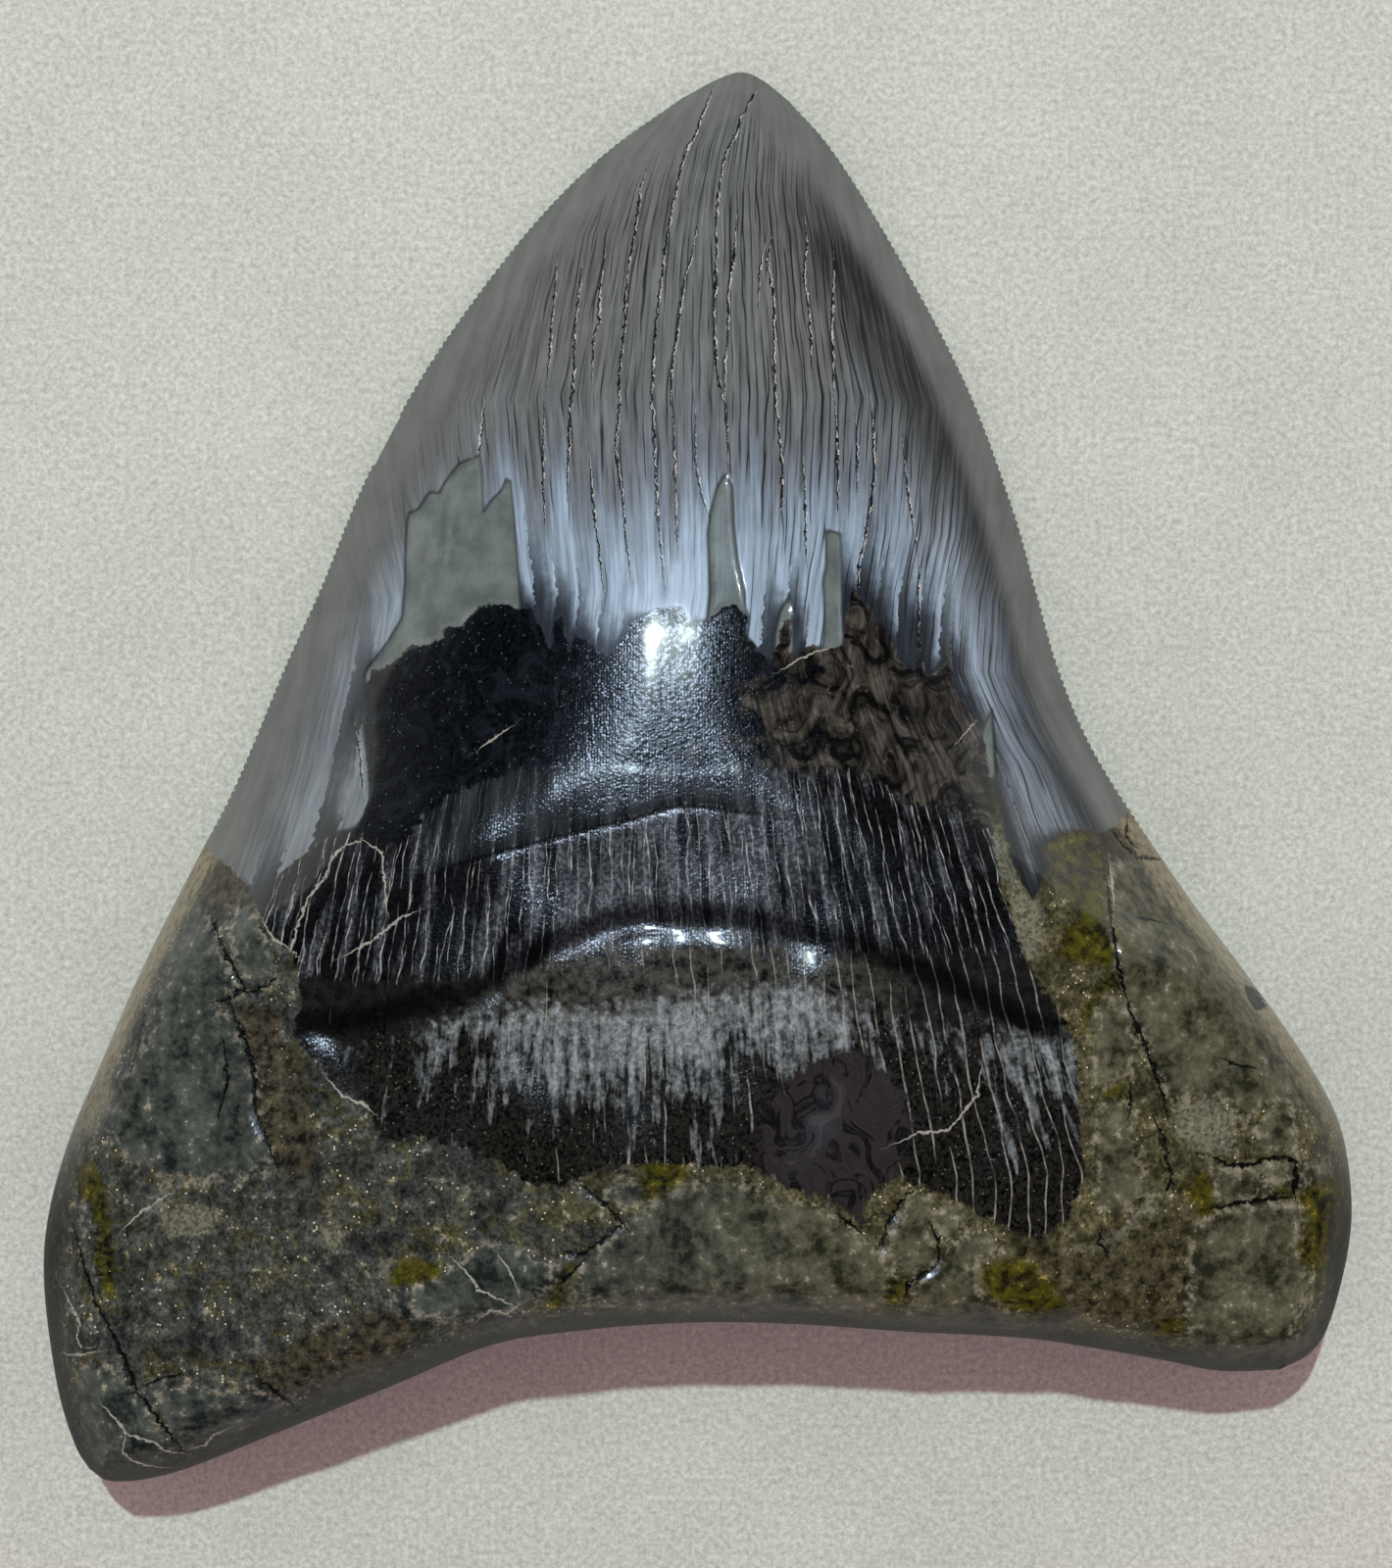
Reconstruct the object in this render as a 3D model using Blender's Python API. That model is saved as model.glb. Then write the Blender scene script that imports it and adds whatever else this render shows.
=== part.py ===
"""Megalodon tooth: one polished fossil shark tooth, lying on its flat outer (labial) face.

Run it with: blender --background --python part.py
Blender works in metres; the shape below is worked out in millimetres and scaled at the end.
+X runs across the tooth, +Y from the root to the tip, and +Z out of the bulging inner (lingual) face.
The origin is under the middle of the tooth, on the surface that it lies on.

The tooth grew as one piece, so it is one closed solid: two faces, a domed top and a flat-bottomed
underside, that share one rim. Each face is a sheet of rows from the root to the tip and columns from
edge to edge.
"""

import math

import bpy
import numpy as np

MILLIMETRE = 0.001

# Outline seen from above, as (x, y, height of the widest line) in millimetres.
LEFT_SIDE = [
    (-56.8, -65.4, 7.6), (-58.3, -62.9, 7.8), (-59.9, -57.3, 8.2), (-61.0, -48.2, 8.8),
    (-60.6, -41.7, 9.0), (-58.6, -34.4, 9.0), (-55.6, -27.1, 8.5), (-50.9, -16.1, 7.5),
    (-47.4, -8.8, 6.5), (-43.7, -1.4, 5.5), (-39.2, 9.8, 4.2), (-35.9, 17.3, 3.5),
    (-31.3, 28.6, 2.8), (-24.9, 39.9, 2.5), (-16.5, 51.2, 2.5), (-9.2, 58.6, 2.7), (-1.4, 64.2, 3.0),
]
RIGHT_SIDE = [
    (54.2, -56.2, 7.4), (57.2, -54.6, 7.6), (59.1, -51.6, 8.0), (60.7, -45.0, 8.8),
    (61.0, -39.5, 9.0), (59.9, -33.0, 9.0), (56.9, -27.1, 8.5), (51.9, -19.8, 8.0),
    (46.5, -12.4, 7.5), (41.6, -5.1, 6.5), (37.2, 2.3, 5.5), (34.2, 9.8, 4.5), (32.2, 17.3, 3.5),
    (30.1, 24.9, 3.0), (26.0, 36.1, 2.6), (20.2, 47.4, 2.5), (13.3, 58.6, 2.7), (8.6, 64.0, 3.0),
]
ROOT_BASE = [
    (-56.8, -65.4, 7.6), (-54.3, -66.6, 7.6), (-48.4, -65.6, 7.8), (-38.6, -61.6, 8.6),
    (-28.4, -57.3, 9.2), (-18.7, -53.2, 9.8), (-10.2, -51.8, 10.0), (-1.1, -51.1, 10.0),
    (8.1, -51.2, 10.0), (19.0, -52.0, 9.8), (29.5, -52.7, 9.2), (37.1, -53.9, 8.6),
    (43.2, -55.1, 8.0), (48.5, -56.2, 7.6), (54.2, -56.2, 7.4),
]
TIP_END = [(-1.4, 64.2, 3.0), (2.0, 66.0, 3.1), (4.3, 66.6, 3.2), (6.3, 65.8, 3.1), (8.6, 64.0, 3.0)]

# Height of the tooth's back along its middle line, as (y, z), from below the root to the tip.
BACK_LINE = [
    (-70.0, 26.0), (-52.0, 26.6), (-40.0, 27.1), (-30.0, 27.3), (-20.0, 27.2), (-10.0, 26.6),
    (0.0, 25.6), (10.0, 24.1), (20.0, 22.0), (30.0, 19.3), (40.0, 16.0), (50.0, 12.2), (60.0, 7.8),
    (66.6, 4.6),
]
LOBE_FALL = 0.0026  # how fast the back falls towards the two root lobes, in mm per mm squared
ROOT_ROUNDING = 7.5  # width of the rounded flank around the root, above
BELLY_ROUNDING = 6.5  # the same below, between the flank and the flat face
BELLY_CROWN_PART = 0.75  # part of the crown's half width that curves up from the flat face
CROWN_STARTS = -22.0  # y where the root's block shape starts to turn into the crown's lens shape
CROWN_FULL = 6.0  # y where the lens shape is reached
LEAST_LENS = 4.5  # half width that the lens keeps at the tip
BLADE_THINNING = 0.28  # how much the blade beside the cutting edge is thinned
BLADE_WIDTH = 0.14  # how far in that reaches, as a part of the half width

# Cutting edge: about 13 serrations to the centimetre.
SHOULDER_Y = -7.0  # the enamel's edge starts here
TEETH_A_CELL = 4  # serrations between two rows of the sheet
SERRATION_DEPTH = 0.3
PLAIN_TIP = 7.0  # the serrations fade out this far from the tip
EDGE_NICKS = [(-29.2, 32.5, 0.8, 1.1), (-30.4, 30.3, 0.6, 0.9)]  # x, y, depth, radius

# Relief of the upper face, from (x, y) points in millimetres.
ENAMEL_EDGE = [
    (-45.5, -7.0), (-41.0, -10.4), (-33.4, -6.2), (-30.8, -5.2), (-30.2, 8.3), (-22.4, 13.6),
    (-16.8, 14.9), (-10.3, 11.6), (-2.0, 14.1), (4.2, 12.5), (14.9, 13.2), (20.3, 9.5),
    (25.6, 0.6), (27.4, -6.4), (30.6, -10.5), (31.5, -6.0), (40.6, -4.4),
]
ENAMEL_STEP = 0.5  # the enamel stands this much above the dark band below it
ENAMEL_STEP_WIDTH = 1.4
FOLD = [
    (-34.3, -24.3), (-26.2, -22.0), (-19.1, -18.8), (-13.9, -16.0), (-8.5, -13.9), (-3.3, -13.0),
    (2.1, -12.5), (7.4, -13.2), (12.8, -14.3), (21.8, -19.7), (30.8, -23.3),
]
FOLD_DEPTH = 0.9
FOLD_LIP = 0.6
FOLD_WIDTH = 1.5
ROOT_PITS = [
    (-46.6, -14.8, 0.8, 1.6), (-54.8, -30.9, 0.8, 1.6), (41.5, -13.3, 0.7, 1.8),
    (52.3, -20.6, 2.2, 1.6), (-33.0, -46.0, 0.6, 2.4), (33.5, -50.5, 0.6, 2.2),
]
LUMP_HEIGHT = 0.35  # low swells that the polish left on the root
LUMP_LENGTH = 17.0

# Relief of the face that it lies on, pressed inwards so that the rest stays flat.
LOWER_ENAMEL_EDGE = [
    (-48.0, -8.5), (-38.0, -9.0), (-26.0, -12.5), (-14.0, -16.5), (-4.0, -20.0), (2.0, -21.0),
    (8.0, -20.0), (18.0, -16.5), (28.0, -12.0), (37.0, -7.5), (44.0, -5.0),
]
LOWER_STEP = 0.4  # the root's face is set back by this much beside the enamel's edge
LOWER_STEP_REACH = 5.0
ROOT_HOLLOWS = [(1.0, -41.0, 0.9, 9.0), (-14.0, -43.0, 0.5, 7.0), (15.0, -41.0, 0.5, 7.0)]

# The sheet: columns across and rows along. Fractions crowd where the flanks turn down.
FLANK_FRACTIONS = [0.0, 0.005, 0.019, 0.04, 0.066]
BLADE_FRACTIONS = [0.0, 0.03, 0.065, 0.105, 0.145]
MIDDLE_COLUMNS = 32
MIDDLE_ROWS = 44
TIP_FRACTIONS = [0.945, 0.968, 0.985, 1.0]
CURVE_STEPS = 14  # straight steps drawn between two outline points


def clear_scene():
    for thing in list(bpy.data.objects):
        bpy.data.objects.remove(thing, do_unlink=True)


def ease(low, high, value):
    """0 below low, 1 above high, and a smooth turn between."""
    part = np.clip((value - low) / (high - low), 0.0, 1.0)
    return part * part * (3.0 - 2.0 * part)


def smooth_curve(points, steps=CURVE_STEPS):
    """A Catmull-Rom curve through the points, as a fine polyline."""
    points = np.array(points, float)
    ends = np.vstack([2 * points[0] - points[1], points, 2 * points[-1] - points[-2]])
    share = np.linspace(0.0, 1.0, steps, endpoint=False)[:, None]
    pieces = []
    for before, start, end, after in zip(ends, ends[1:], ends[2:], ends[3:]):
        bend = 2 * before - 5 * start + 4 * end - after
        twist = -before + 3 * start - 3 * end + after
        pieces.append(0.5 * (2 * start + (end - before) * share + bend * share**2 + twist * share**3))
    return np.vstack(pieces + [points[-1:]])


def along(curve, fractions):
    """Points of a polyline at these fractions of its length."""
    steps = np.linalg.norm(np.diff(curve[:, :2], axis=0), axis=1)
    run = np.concatenate([[0.0], np.cumsum(steps)])
    return np.stack([np.interp(np.asarray(fractions) * run[-1], run, axis) for axis in curve.T], axis=-1)


def nearest(points, curve):
    """Distance of each point from a polyline, and +1 or -1 for its left or right side."""
    best = np.full(len(points), np.inf)
    side = np.ones(len(points))
    for start, end in zip(curve[:-1, :2], curve[1:, :2]):
        run = end - start
        share = np.clip((points - start) @ run / (run @ run), 0.0, 1.0)
        away = points - start - share[:, None] * run
        distance = np.linalg.norm(away, axis=1)
        closer = distance < best
        best[closer] = distance[closer]
        side[closer] = np.sign(run[0] * away[closer, 1] - run[1] * away[closer, 0])
    return best, side


def sheet_fractions():
    """Row fractions, and the column fractions of the root and of the crown."""
    flank = np.array(FLANK_FRACTIONS)
    rows = np.concatenate([flank, np.linspace(flank[-1], TIP_FRACTIONS[0], MIDDLE_ROWS)[1:-1]])
    rows = np.concatenate([rows, TIP_FRACTIONS])
    root_columns, crown_columns = [
        np.concatenate([edge, np.linspace(edge[-1], 1 - edge[-1], MIDDLE_COLUMNS + 1)[1:-1], 1 - edge[::-1]])
        for edge in (flank, np.array(BLADE_FRACTIONS))
    ]
    return rows, root_columns, crown_columns


def lay_sheet(left, right, base, tip):
    """Every sheet point (row, column) inside the four outline curves: x, y and rim height."""
    rows, root_columns, crown_columns = sheet_fractions()
    turn = ease(0.25, 0.5, rows)[:, None]
    across = root_columns[None] * (1 - turn) + crown_columns[None] * turn
    up = np.broadcast_to(rows[:, None], across.shape)
    left_points = along(left, rows)[:, None]
    right_points = along(right, rows)[:, None]
    base_points = along(base, across)
    tip_points = along(tip, across)
    u, v = across[..., None], up[..., None]
    corners = (1 - u) * (1 - v) * base[0] + u * (1 - v) * base[-1]
    corners = corners + (1 - u) * v * tip[0] + u * v * tip[-1]
    return (1 - u) * left_points + u * right_points + (1 - v) * base_points + v * tip_points - corners


def bowl(distance, rounding, power):
    """0 at the rim and 1 from the rounding inwards."""
    part = 1.0 - np.clip(distance / rounding, 0.0, 1.0)
    return np.maximum(1.0 - part * part, 0.0) ** power


def crown_share(y):
    return ease(CROWN_STARTS, CROWN_FULL, y)


def half_width(y, left, right):
    """Distance from the crown's middle line to its cutting edge, at right angles to the edge."""
    across = np.interp(y, right[:, 1], right[:, 0]) - np.interp(y, left[:, 1], left[:, 0])
    return np.maximum(0.45 * across, LEAST_LENS)


def dents(points, places):
    """Depth of round dents, given as x, y, depth and radius."""
    depth = np.zeros(len(points))
    for x, y, deep, radius in places:
        away = np.hypot(points[:, 0] - x, points[:, 1] - y)
        depth += deep * np.exp(-((away / radius) ** 2))
    return depth


def upper_relief(points):
    """The enamel's ledge, the fold across the dark band, the pits and the low swells."""
    distance, side = nearest(points, smooth_curve(ENAMEL_EDGE))
    relief = -ENAMEL_STEP * ease(0.0, ENAMEL_STEP_WIDTH, -distance * side)
    distance, side = nearest(points, smooth_curve(FOLD))
    relief -= FOLD_DEPTH * np.exp(-((distance / FOLD_WIDTH) ** 2))
    relief += FOLD_LIP * np.exp(-(((distance * side + 2 * FOLD_WIDTH) / FOLD_WIDTH) ** 2))
    turn = 2 * math.pi / LUMP_LENGTH
    swell = np.sin(turn * points[:, 0] + 0.6) * np.sin(turn * points[:, 1] + 1.1 * np.sin(turn * points[:, 0]))
    return relief + LUMP_HEIGHT * swell * (1 - crown_share(points[:, 1]))


def lower_relief(points):
    """How far the face below is pressed in, behind the enamel's edge and in the root's middle."""
    distance, side = nearest(points, smooth_curve(LOWER_ENAMEL_EDGE))
    behind = -distance * side
    step = ease(0.0, ENAMEL_STEP_WIDTH, behind) * (1 - ease(ENAMEL_STEP_WIDTH, LOWER_STEP_REACH, behind))
    return LOWER_STEP * step + dents(points, ROOT_HOLLOWS) * ease(0.0, LOWER_STEP_REACH, behind)


def face_heights(sheet, left, right, outline):
    """Heights of the upper and the lower face at every sheet point."""
    points = sheet[..., :2].reshape(-1, 2)
    rim = sheet[..., 2].reshape(-1)
    distance, _ = nearest(points, outline)
    y = points[:, 1]
    crown = crown_share(y)
    lens = half_width(y, left, right)
    back = smooth_curve(BACK_LINE)
    top = np.interp(y, back[:, 0], back[:, 1]) - LOBE_FALL * points[:, 0] ** 2 * (1 - crown)
    dome = bowl(distance, ROOT_ROUNDING + (lens - ROOT_ROUNDING) * crown, 0.5 + 0.5 * crown)
    dome *= 1.0 - BLADE_THINNING * crown * np.exp(-distance / (BLADE_WIDTH * lens))
    inside = ease(0.0, 3.0, distance)
    upper = rim + (top - rim) * dome + inside * upper_relief(points) - inside**0.25 * dents(points, ROOT_PITS)
    belly_width = BELLY_ROUNDING + (BELLY_CROWN_PART * lens - BELLY_ROUNDING) * crown
    belly = bowl(distance, belly_width, 0.5 + 0.5 * crown)
    lower = rim * (1.0 - belly)
    lower[belly > 0.9999] = 0.0
    lower += inside * lower_relief(points)
    return upper.reshape(sheet.shape[:2]), lower.reshape(sheet.shape[:2])


def serrated(cell_start, cell_end, outwards, tip_point):
    """Points between two rim points: valleys and peaks of the cutting edge."""
    count = 2 * TEETH_A_CELL
    points = []
    for step in range(1, count):
        point = cell_start + (cell_end - cell_start) * step / count
        fade = min(1.0, np.linalg.norm(point[:2] - tip_point[:2]) / PLAIN_TIP)
        push = SERRATION_DEPTH * fade * (0.35 if step % 2 else -0.65)
        push -= dents(point[None, :2], EDGE_NICKS)[0]
        points.append(point + push * outwards)
    return points


def add_face(faces, corners, upwards):
    faces.append(tuple(corners) if upwards else tuple(reversed(corners)))


def tooth_mesh():
    left, right, base, tip = [smooth_curve(side) for side in (LEFT_SIDE, RIGHT_SIDE, ROOT_BASE, TIP_END)]
    outline = np.vstack([base, right[1:], tip[::-1][1:], left[::-1][1:]])
    sheet = lay_sheet(left, right, base, tip)
    upper, lower = face_heights(sheet, left, right, outline)
    row_count, column_count = upper.shape
    points = []
    number = {}
    for row in range(row_count):
        for column in range(column_count):
            x, y, rim = sheet[row, column]
            on_rim = row in (0, row_count - 1) or column in (0, column_count - 1)
            number[row, column, True] = number[row, column, False] = len(points)
            points.append((x, y, rim if on_rim else upper[row, column]))
            if not on_rim:
                number[row, column, False] = len(points)
                points.append((x, y, lower[row, column]))
    faces = []
    edge_points = {}
    for row in range(row_count - 1):
        for column, neighbour in ((0, 1), (column_count - 1, column_count - 2)):
            start, end = sheet[row, column], sheet[row + 1, column]
            if start[1] < SHOULDER_Y:
                continue
            run = (end - start)[:2] / np.linalg.norm((end - start)[:2])
            outwards = np.array([-run[1], run[0], 0.0]) * (1 if column == 0 else -1)
            new = serrated(start, end, outwards, np.array(TIP_END[2]))
            edge_points[row, column] = list(range(len(points), len(points) + len(new)))
            points.extend(tuple(point) for point in new)
    for upwards in (True, False):
        for row in range(row_count - 1):
            for column in range(column_count - 1):
                corners = [
                    number[row, column, upwards], number[row, column + 1, upwards],
                    number[row + 1, column + 1, upwards], number[row + 1, column, upwards],
                ]
                if (row, 0) in edge_points and column == 0:
                    chain = [corners[0]] + edge_points[row, 0] + [corners[3]]
                    last = 0 if row == row_count - 2 else TEETH_A_CELL
                    fan(faces, chain[::-1], (corners[2], corners[1]), last, upwards)
                elif (row, column_count - 1) in edge_points and column == column_count - 2:
                    chain = [corners[1]] + edge_points[row, column_count - 1] + [corners[2]]
                    last = len(chain) - 1 if row == row_count - 2 else TEETH_A_CELL
                    fan(faces, chain, (corners[0], corners[3]), last, upwards)
                else:
                    add_face(faces, corners, upwards)
    return points, faces


def fan(faces, chain, inner, turn, upwards):
    """Triangles from a serrated stretch of rim to the two sheet points beside it.

    Rim points before the turn join the first sheet point, and those after it the second."""
    for step in range(len(chain) - 1):
        add_face(faces, (inner[0] if step < turn else inner[1], chain[step], chain[step + 1]), upwards)
    add_face(faces, (inner[0], chain[turn], inner[1]), upwards)


def fossil_material():
    material = bpy.data.materials.new("polished_fossil_stone")
    material.use_nodes = True
    shader = material.node_tree.nodes["Principled BSDF"]
    shader.inputs["Base Color"].default_value = (0.055, 0.057, 0.052, 1.0)
    shader.inputs["Roughness"].default_value = 0.28
    shader.inputs["Metallic"].default_value = 0.0
    return material


def build_tooth():
    points, faces = tooth_mesh()
    mesh = bpy.data.meshes.new("megalodon_tooth")
    mesh.from_pydata([tuple(MILLIMETRE * value for value in point) for point in points], [], faces)
    mesh.validate()
    mesh.materials.append(fossil_material())
    mesh.shade_smooth()
    mesh.set_sharp_from_angle(angle=math.radians(50.0))
    tooth = bpy.data.objects.new("megalodon_tooth", mesh)
    bpy.context.scene.collection.objects.link(tooth)
    return tooth


clear_scene()
build_tooth()
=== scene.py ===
"""Looks of a fossil megalodon tooth: polished stone, lying on its flat outer face.

The tooth is laid as one closed sheet of fine cells on the solid's own outline and heights. The borders
of its parts are kept on the mesh as distances in millimetres: the enamel of the crown, the dark neck,
the stone plates of the root, the amber between them and the cracks. The material reads them, and adds
all finer detail by itself. It is made of finishes, each a colour and a roughness, that are laid over
each other from the root up to the enamel.

Lengths are in millimetres unless a comment says otherwise. +X runs across the tooth, +Y from the root
to the tip, and +Z out of the bulging inner face.
"""

import functools
import math

import bpy
import numpy as np
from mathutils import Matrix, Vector


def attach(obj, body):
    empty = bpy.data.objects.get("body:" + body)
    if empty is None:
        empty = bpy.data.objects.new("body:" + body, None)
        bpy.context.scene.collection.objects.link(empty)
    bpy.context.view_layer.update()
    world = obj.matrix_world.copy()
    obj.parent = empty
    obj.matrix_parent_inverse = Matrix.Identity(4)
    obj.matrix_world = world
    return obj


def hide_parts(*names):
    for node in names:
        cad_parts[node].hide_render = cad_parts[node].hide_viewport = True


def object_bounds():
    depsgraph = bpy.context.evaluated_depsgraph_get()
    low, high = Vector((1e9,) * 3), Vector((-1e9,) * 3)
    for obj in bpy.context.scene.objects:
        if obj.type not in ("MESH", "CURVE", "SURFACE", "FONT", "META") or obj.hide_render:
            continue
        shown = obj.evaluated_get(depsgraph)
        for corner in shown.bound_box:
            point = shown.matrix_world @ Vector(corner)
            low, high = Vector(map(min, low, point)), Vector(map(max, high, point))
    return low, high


bl_info = {
    "name": "Fossil Megalodon Tooth",
    "version": (1, 0, 0),
    "blender": (4, 5, 0),
    "location": "View3D > Sidebar > Fossil Tooth",
    "description": "Builds a polished fossil megalodon tooth and a plain studio stage for it",
    "category": "Add Mesh",
}

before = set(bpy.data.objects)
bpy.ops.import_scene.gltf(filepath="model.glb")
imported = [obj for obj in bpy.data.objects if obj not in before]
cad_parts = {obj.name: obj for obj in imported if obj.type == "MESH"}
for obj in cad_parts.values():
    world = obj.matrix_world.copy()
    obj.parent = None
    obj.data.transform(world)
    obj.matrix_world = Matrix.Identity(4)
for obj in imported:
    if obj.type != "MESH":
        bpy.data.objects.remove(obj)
SOLID_BOX = [list(corner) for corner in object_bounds()]
PIECE_NAME = "polished_tooth"
BODY_NAME = "root"
SOLID_NAME = "megalodon_tooth"
MILLIMETRE = 0.001  # in metres, as Blender's own lengths are
STRAND_MAP = "strand_map"
SKIN_MAP = "skin_map"
BORDER_NAMES = (
    "rim", "enamel", "neck", "flake", "swirl", "amber", "brown", "plate", "pale", "band_top",
    "lens_crack", "fold", "fold_lip", "silver_top", "blotch_top", "strand", "across", "along", "grainy",
    "root_crack", "pale_vein", "enamel_crack", "pit",
)

# Outline seen from above, as (x, y, height of the widest line).
LEFT_SIDE = [
    (-56.8, -65.4, 7.6), (-58.3, -62.9, 7.8), (-59.9, -57.3, 8.2), (-61.0, -48.2, 8.8),
    (-60.6, -41.7, 9.0), (-58.6, -34.4, 9.0), (-55.6, -27.1, 8.5), (-50.9, -16.1, 7.5),
    (-47.4, -8.8, 6.5), (-43.7, -1.4, 5.5), (-39.2, 9.8, 4.2), (-35.9, 17.3, 3.5),
    (-31.3, 28.6, 2.8), (-24.9, 39.9, 2.5), (-16.5, 51.2, 2.5), (-9.2, 58.6, 2.7), (-1.4, 64.2, 3.0),
]
RIGHT_SIDE = [
    (54.2, -56.2, 7.4), (57.2, -54.6, 7.6), (59.1, -51.6, 8.0), (60.7, -45.0, 8.8),
    (61.0, -39.5, 9.0), (59.9, -33.0, 9.0), (56.9, -27.1, 8.5), (51.9, -19.8, 8.0),
    (46.5, -12.4, 7.5), (41.6, -5.1, 6.5), (37.2, 2.3, 5.5), (34.2, 9.8, 4.5), (32.2, 17.3, 3.5),
    (30.1, 24.9, 3.0), (26.0, 36.1, 2.6), (20.2, 47.4, 2.5), (13.3, 58.6, 2.7), (8.6, 64.0, 3.0),
]
ROOT_BASE = [
    (-56.8, -65.4, 7.6), (-54.3, -66.6, 7.6), (-48.4, -65.6, 7.8), (-38.6, -61.6, 8.6),
    (-28.4, -57.3, 9.2), (-18.7, -53.2, 9.8), (-10.2, -51.8, 10.0), (-1.1, -51.1, 10.0),
    (8.1, -51.2, 10.0), (19.0, -52.0, 9.8), (29.5, -52.7, 9.2), (37.1, -53.9, 8.6),
    (43.2, -55.1, 8.0), (48.5, -56.2, 7.6), (54.2, -56.2, 7.4),
]
TIP_END = [(-1.4, 64.2, 3.0), (2.0, 66.0, 3.1), (4.3, 66.6, 3.2), (6.3, 65.8, 3.1), (8.6, 64.0, 3.0)]

# Height of the tooth's back along its middle line, as (y, z).
BACK_LINE = [
    (-70.0, 26.0), (-52.0, 26.6), (-40.0, 26.9), (-30.0, 27.1), (-20.0, 27.0), (-10.0, 26.5),
    (0.0, 25.6), (10.0, 24.1), (20.0, 22.0), (30.0, 19.3), (40.0, 16.0), (50.0, 12.2), (60.0, 7.8),
    (66.6, 4.6),
]
LOBE_FALL = 0.0026  # how fast the back falls towards the two root lobes, in mm per mm squared
ROOT_ROUNDING = 7.5  # width of the rounded flank around the root, above
BELLY_ROUNDING = 6.5  # the same below
BELLY_CROWN_PART = 0.75  # part of the crown's half width that curves up from the flat face
BELLY_FLAT = 0.9999  # from this part of the way down, the belly is flat
CROWN_STARTS = -22.0  # y where the root's block shape starts to turn into the crown's lens shape
CROWN_FULL = 6.0  # y where it has turned into it
LENS_SHARE = 0.45  # a little under half, because the crown's width is measured across slanting edges
LEAST_LENS = 4.5
BLADE_THINNING = 0.28  # part of the crown's height that is missing right behind its cutting edge
BLADE_WIDTH = 0.14  # how soon that fades inwards, as a part of the lens
SHOULDER_Y = -7.0  # the serrated cutting edge starts here
TIP_POINT = (4.3, 66.6)
PLAIN_TIP = 7.0  # the serrations fade out this far from the tip
SERRATION_MIDDLE = 0.65  # the height on a serration, from valley to crest, that keeps to the outline
EDGE_NICKS = [(-29.2, 32.5, 0.8, 1.1), (-30.4, 30.3, 0.6, 0.9)]  # x, y, depth, radius

# The sheet of cells. The underside has one cell for every LOWER_SHARE of the upper face.
ROW_CELLS = 300
COLUMN_CELLS = 279
LOWER_SHARE = 3
FLANK_CELLS = 24  # cells that crowd over the rounded flank
FLANK_SHARE = 0.065  # part of the width that the flank takes
EDGE_STEPS = 4  # straight steps along each cell of the serrated edge
COLUMNS_TURN = (0.25, 0.5)  # between these parts of the way up, the columns turn from crowded to even
STRETCH_STEPS = 13  # points that measure the way over the rounded flank
SHARP_ANGLE = math.radians(60.0)  # edges sharper than this aren't shaded smooth
TINY = 1e-9  # keeps a division by zero away

# How far outside its border each kind of patch is still measured.
PATCH_REACH = 6.0
NECK_REACH = 20.0
ENAMEL_REACH = 40.0

# Relief. Pits and hollows are given as x, y, depth and radius.
FOLD_DEPTH = 0.28
FOLD_LIP_HEIGHT = 0.08
FOLD_WIDTH = 1.35
FOLD_DROP = 1.0  # the deepest part of the fold lies this far below its painted dark line of shade
NECK_SWELL_Y = 13.0  # a low swelling runs along the enamel's lower edge here
NECK_SWELL_WIDTH = 3.0
NECK_SWELL_HEIGHT = 0.05
SWELL_LENGTH = 17.0  # from crest to crest of the root's broad swellings
SWELL_HEIGHT = 0.35
LENS_HEIGHT = 0.04  # of the smooth lens in the neck's band, with a crack under it
LENS_CRACK_DEPTH = 0.1
LENS_CRACK_WIDTH = 0.3
PLATE_HEIGHT = 0.07
AMBER_DEPTH = 0.08
ROOT_CRACK_DEPTH = 0.4
ROOT_CRACK_WIDTH = 0.3
GROOVE_WIDTH = 0.25  # along the enamel's long cracks
ROOT_PITS = [
    (-46.6, -14.8, 0.8, 1.6), (-54.8, -30.9, 0.8, 1.6), (41.5, -13.3, 0.7, 1.8),
    (52.3, -20.6, 2.2, 1.3), (-33.0, -46.0, 0.6, 2.4), (33.5, -50.5, 0.6, 2.2),
]
FLANK_NOTCH = [(50.1, -19.8), (52.5, -20.5), (53.3, -21.6), (52.6, -22.1), (50.9, -22.1), (50.1, -20.9)]
NOTCH_RIM = 0.6  # the notch stays this far inside the outline

# Fine lumps of the relief, as height, size and seed. Ribs are lumps drawn out along the growth strands.
CROWN_RIBS = [(0.012, 1.3, 3)]
CROWN_RIB_LENGTH = 12.0
CRUMBLED_LUMPS = [(0.006, 1.5, 5), (0.012, 3.5, 6)]
NECK_RIBS = [(0.012, 0.95, 7), (0.022, 2.4, 8)]
NECK_RIB_LENGTH = 9.0
SWIRL_LUMPS = [(0.06, 3.0, 9)]
ROOT_LUMPS = [(0.06, 2.6, 11), (0.02, 1.1, 12)]
LOWER_GRAIN_HEIGHT = 0.08
LUMP_TABLE = 97  # random heights along each side of the table that lumps are read from
LUMP_START = 500.0  # the tooth's middle lies here in it, as the table repeats

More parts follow.
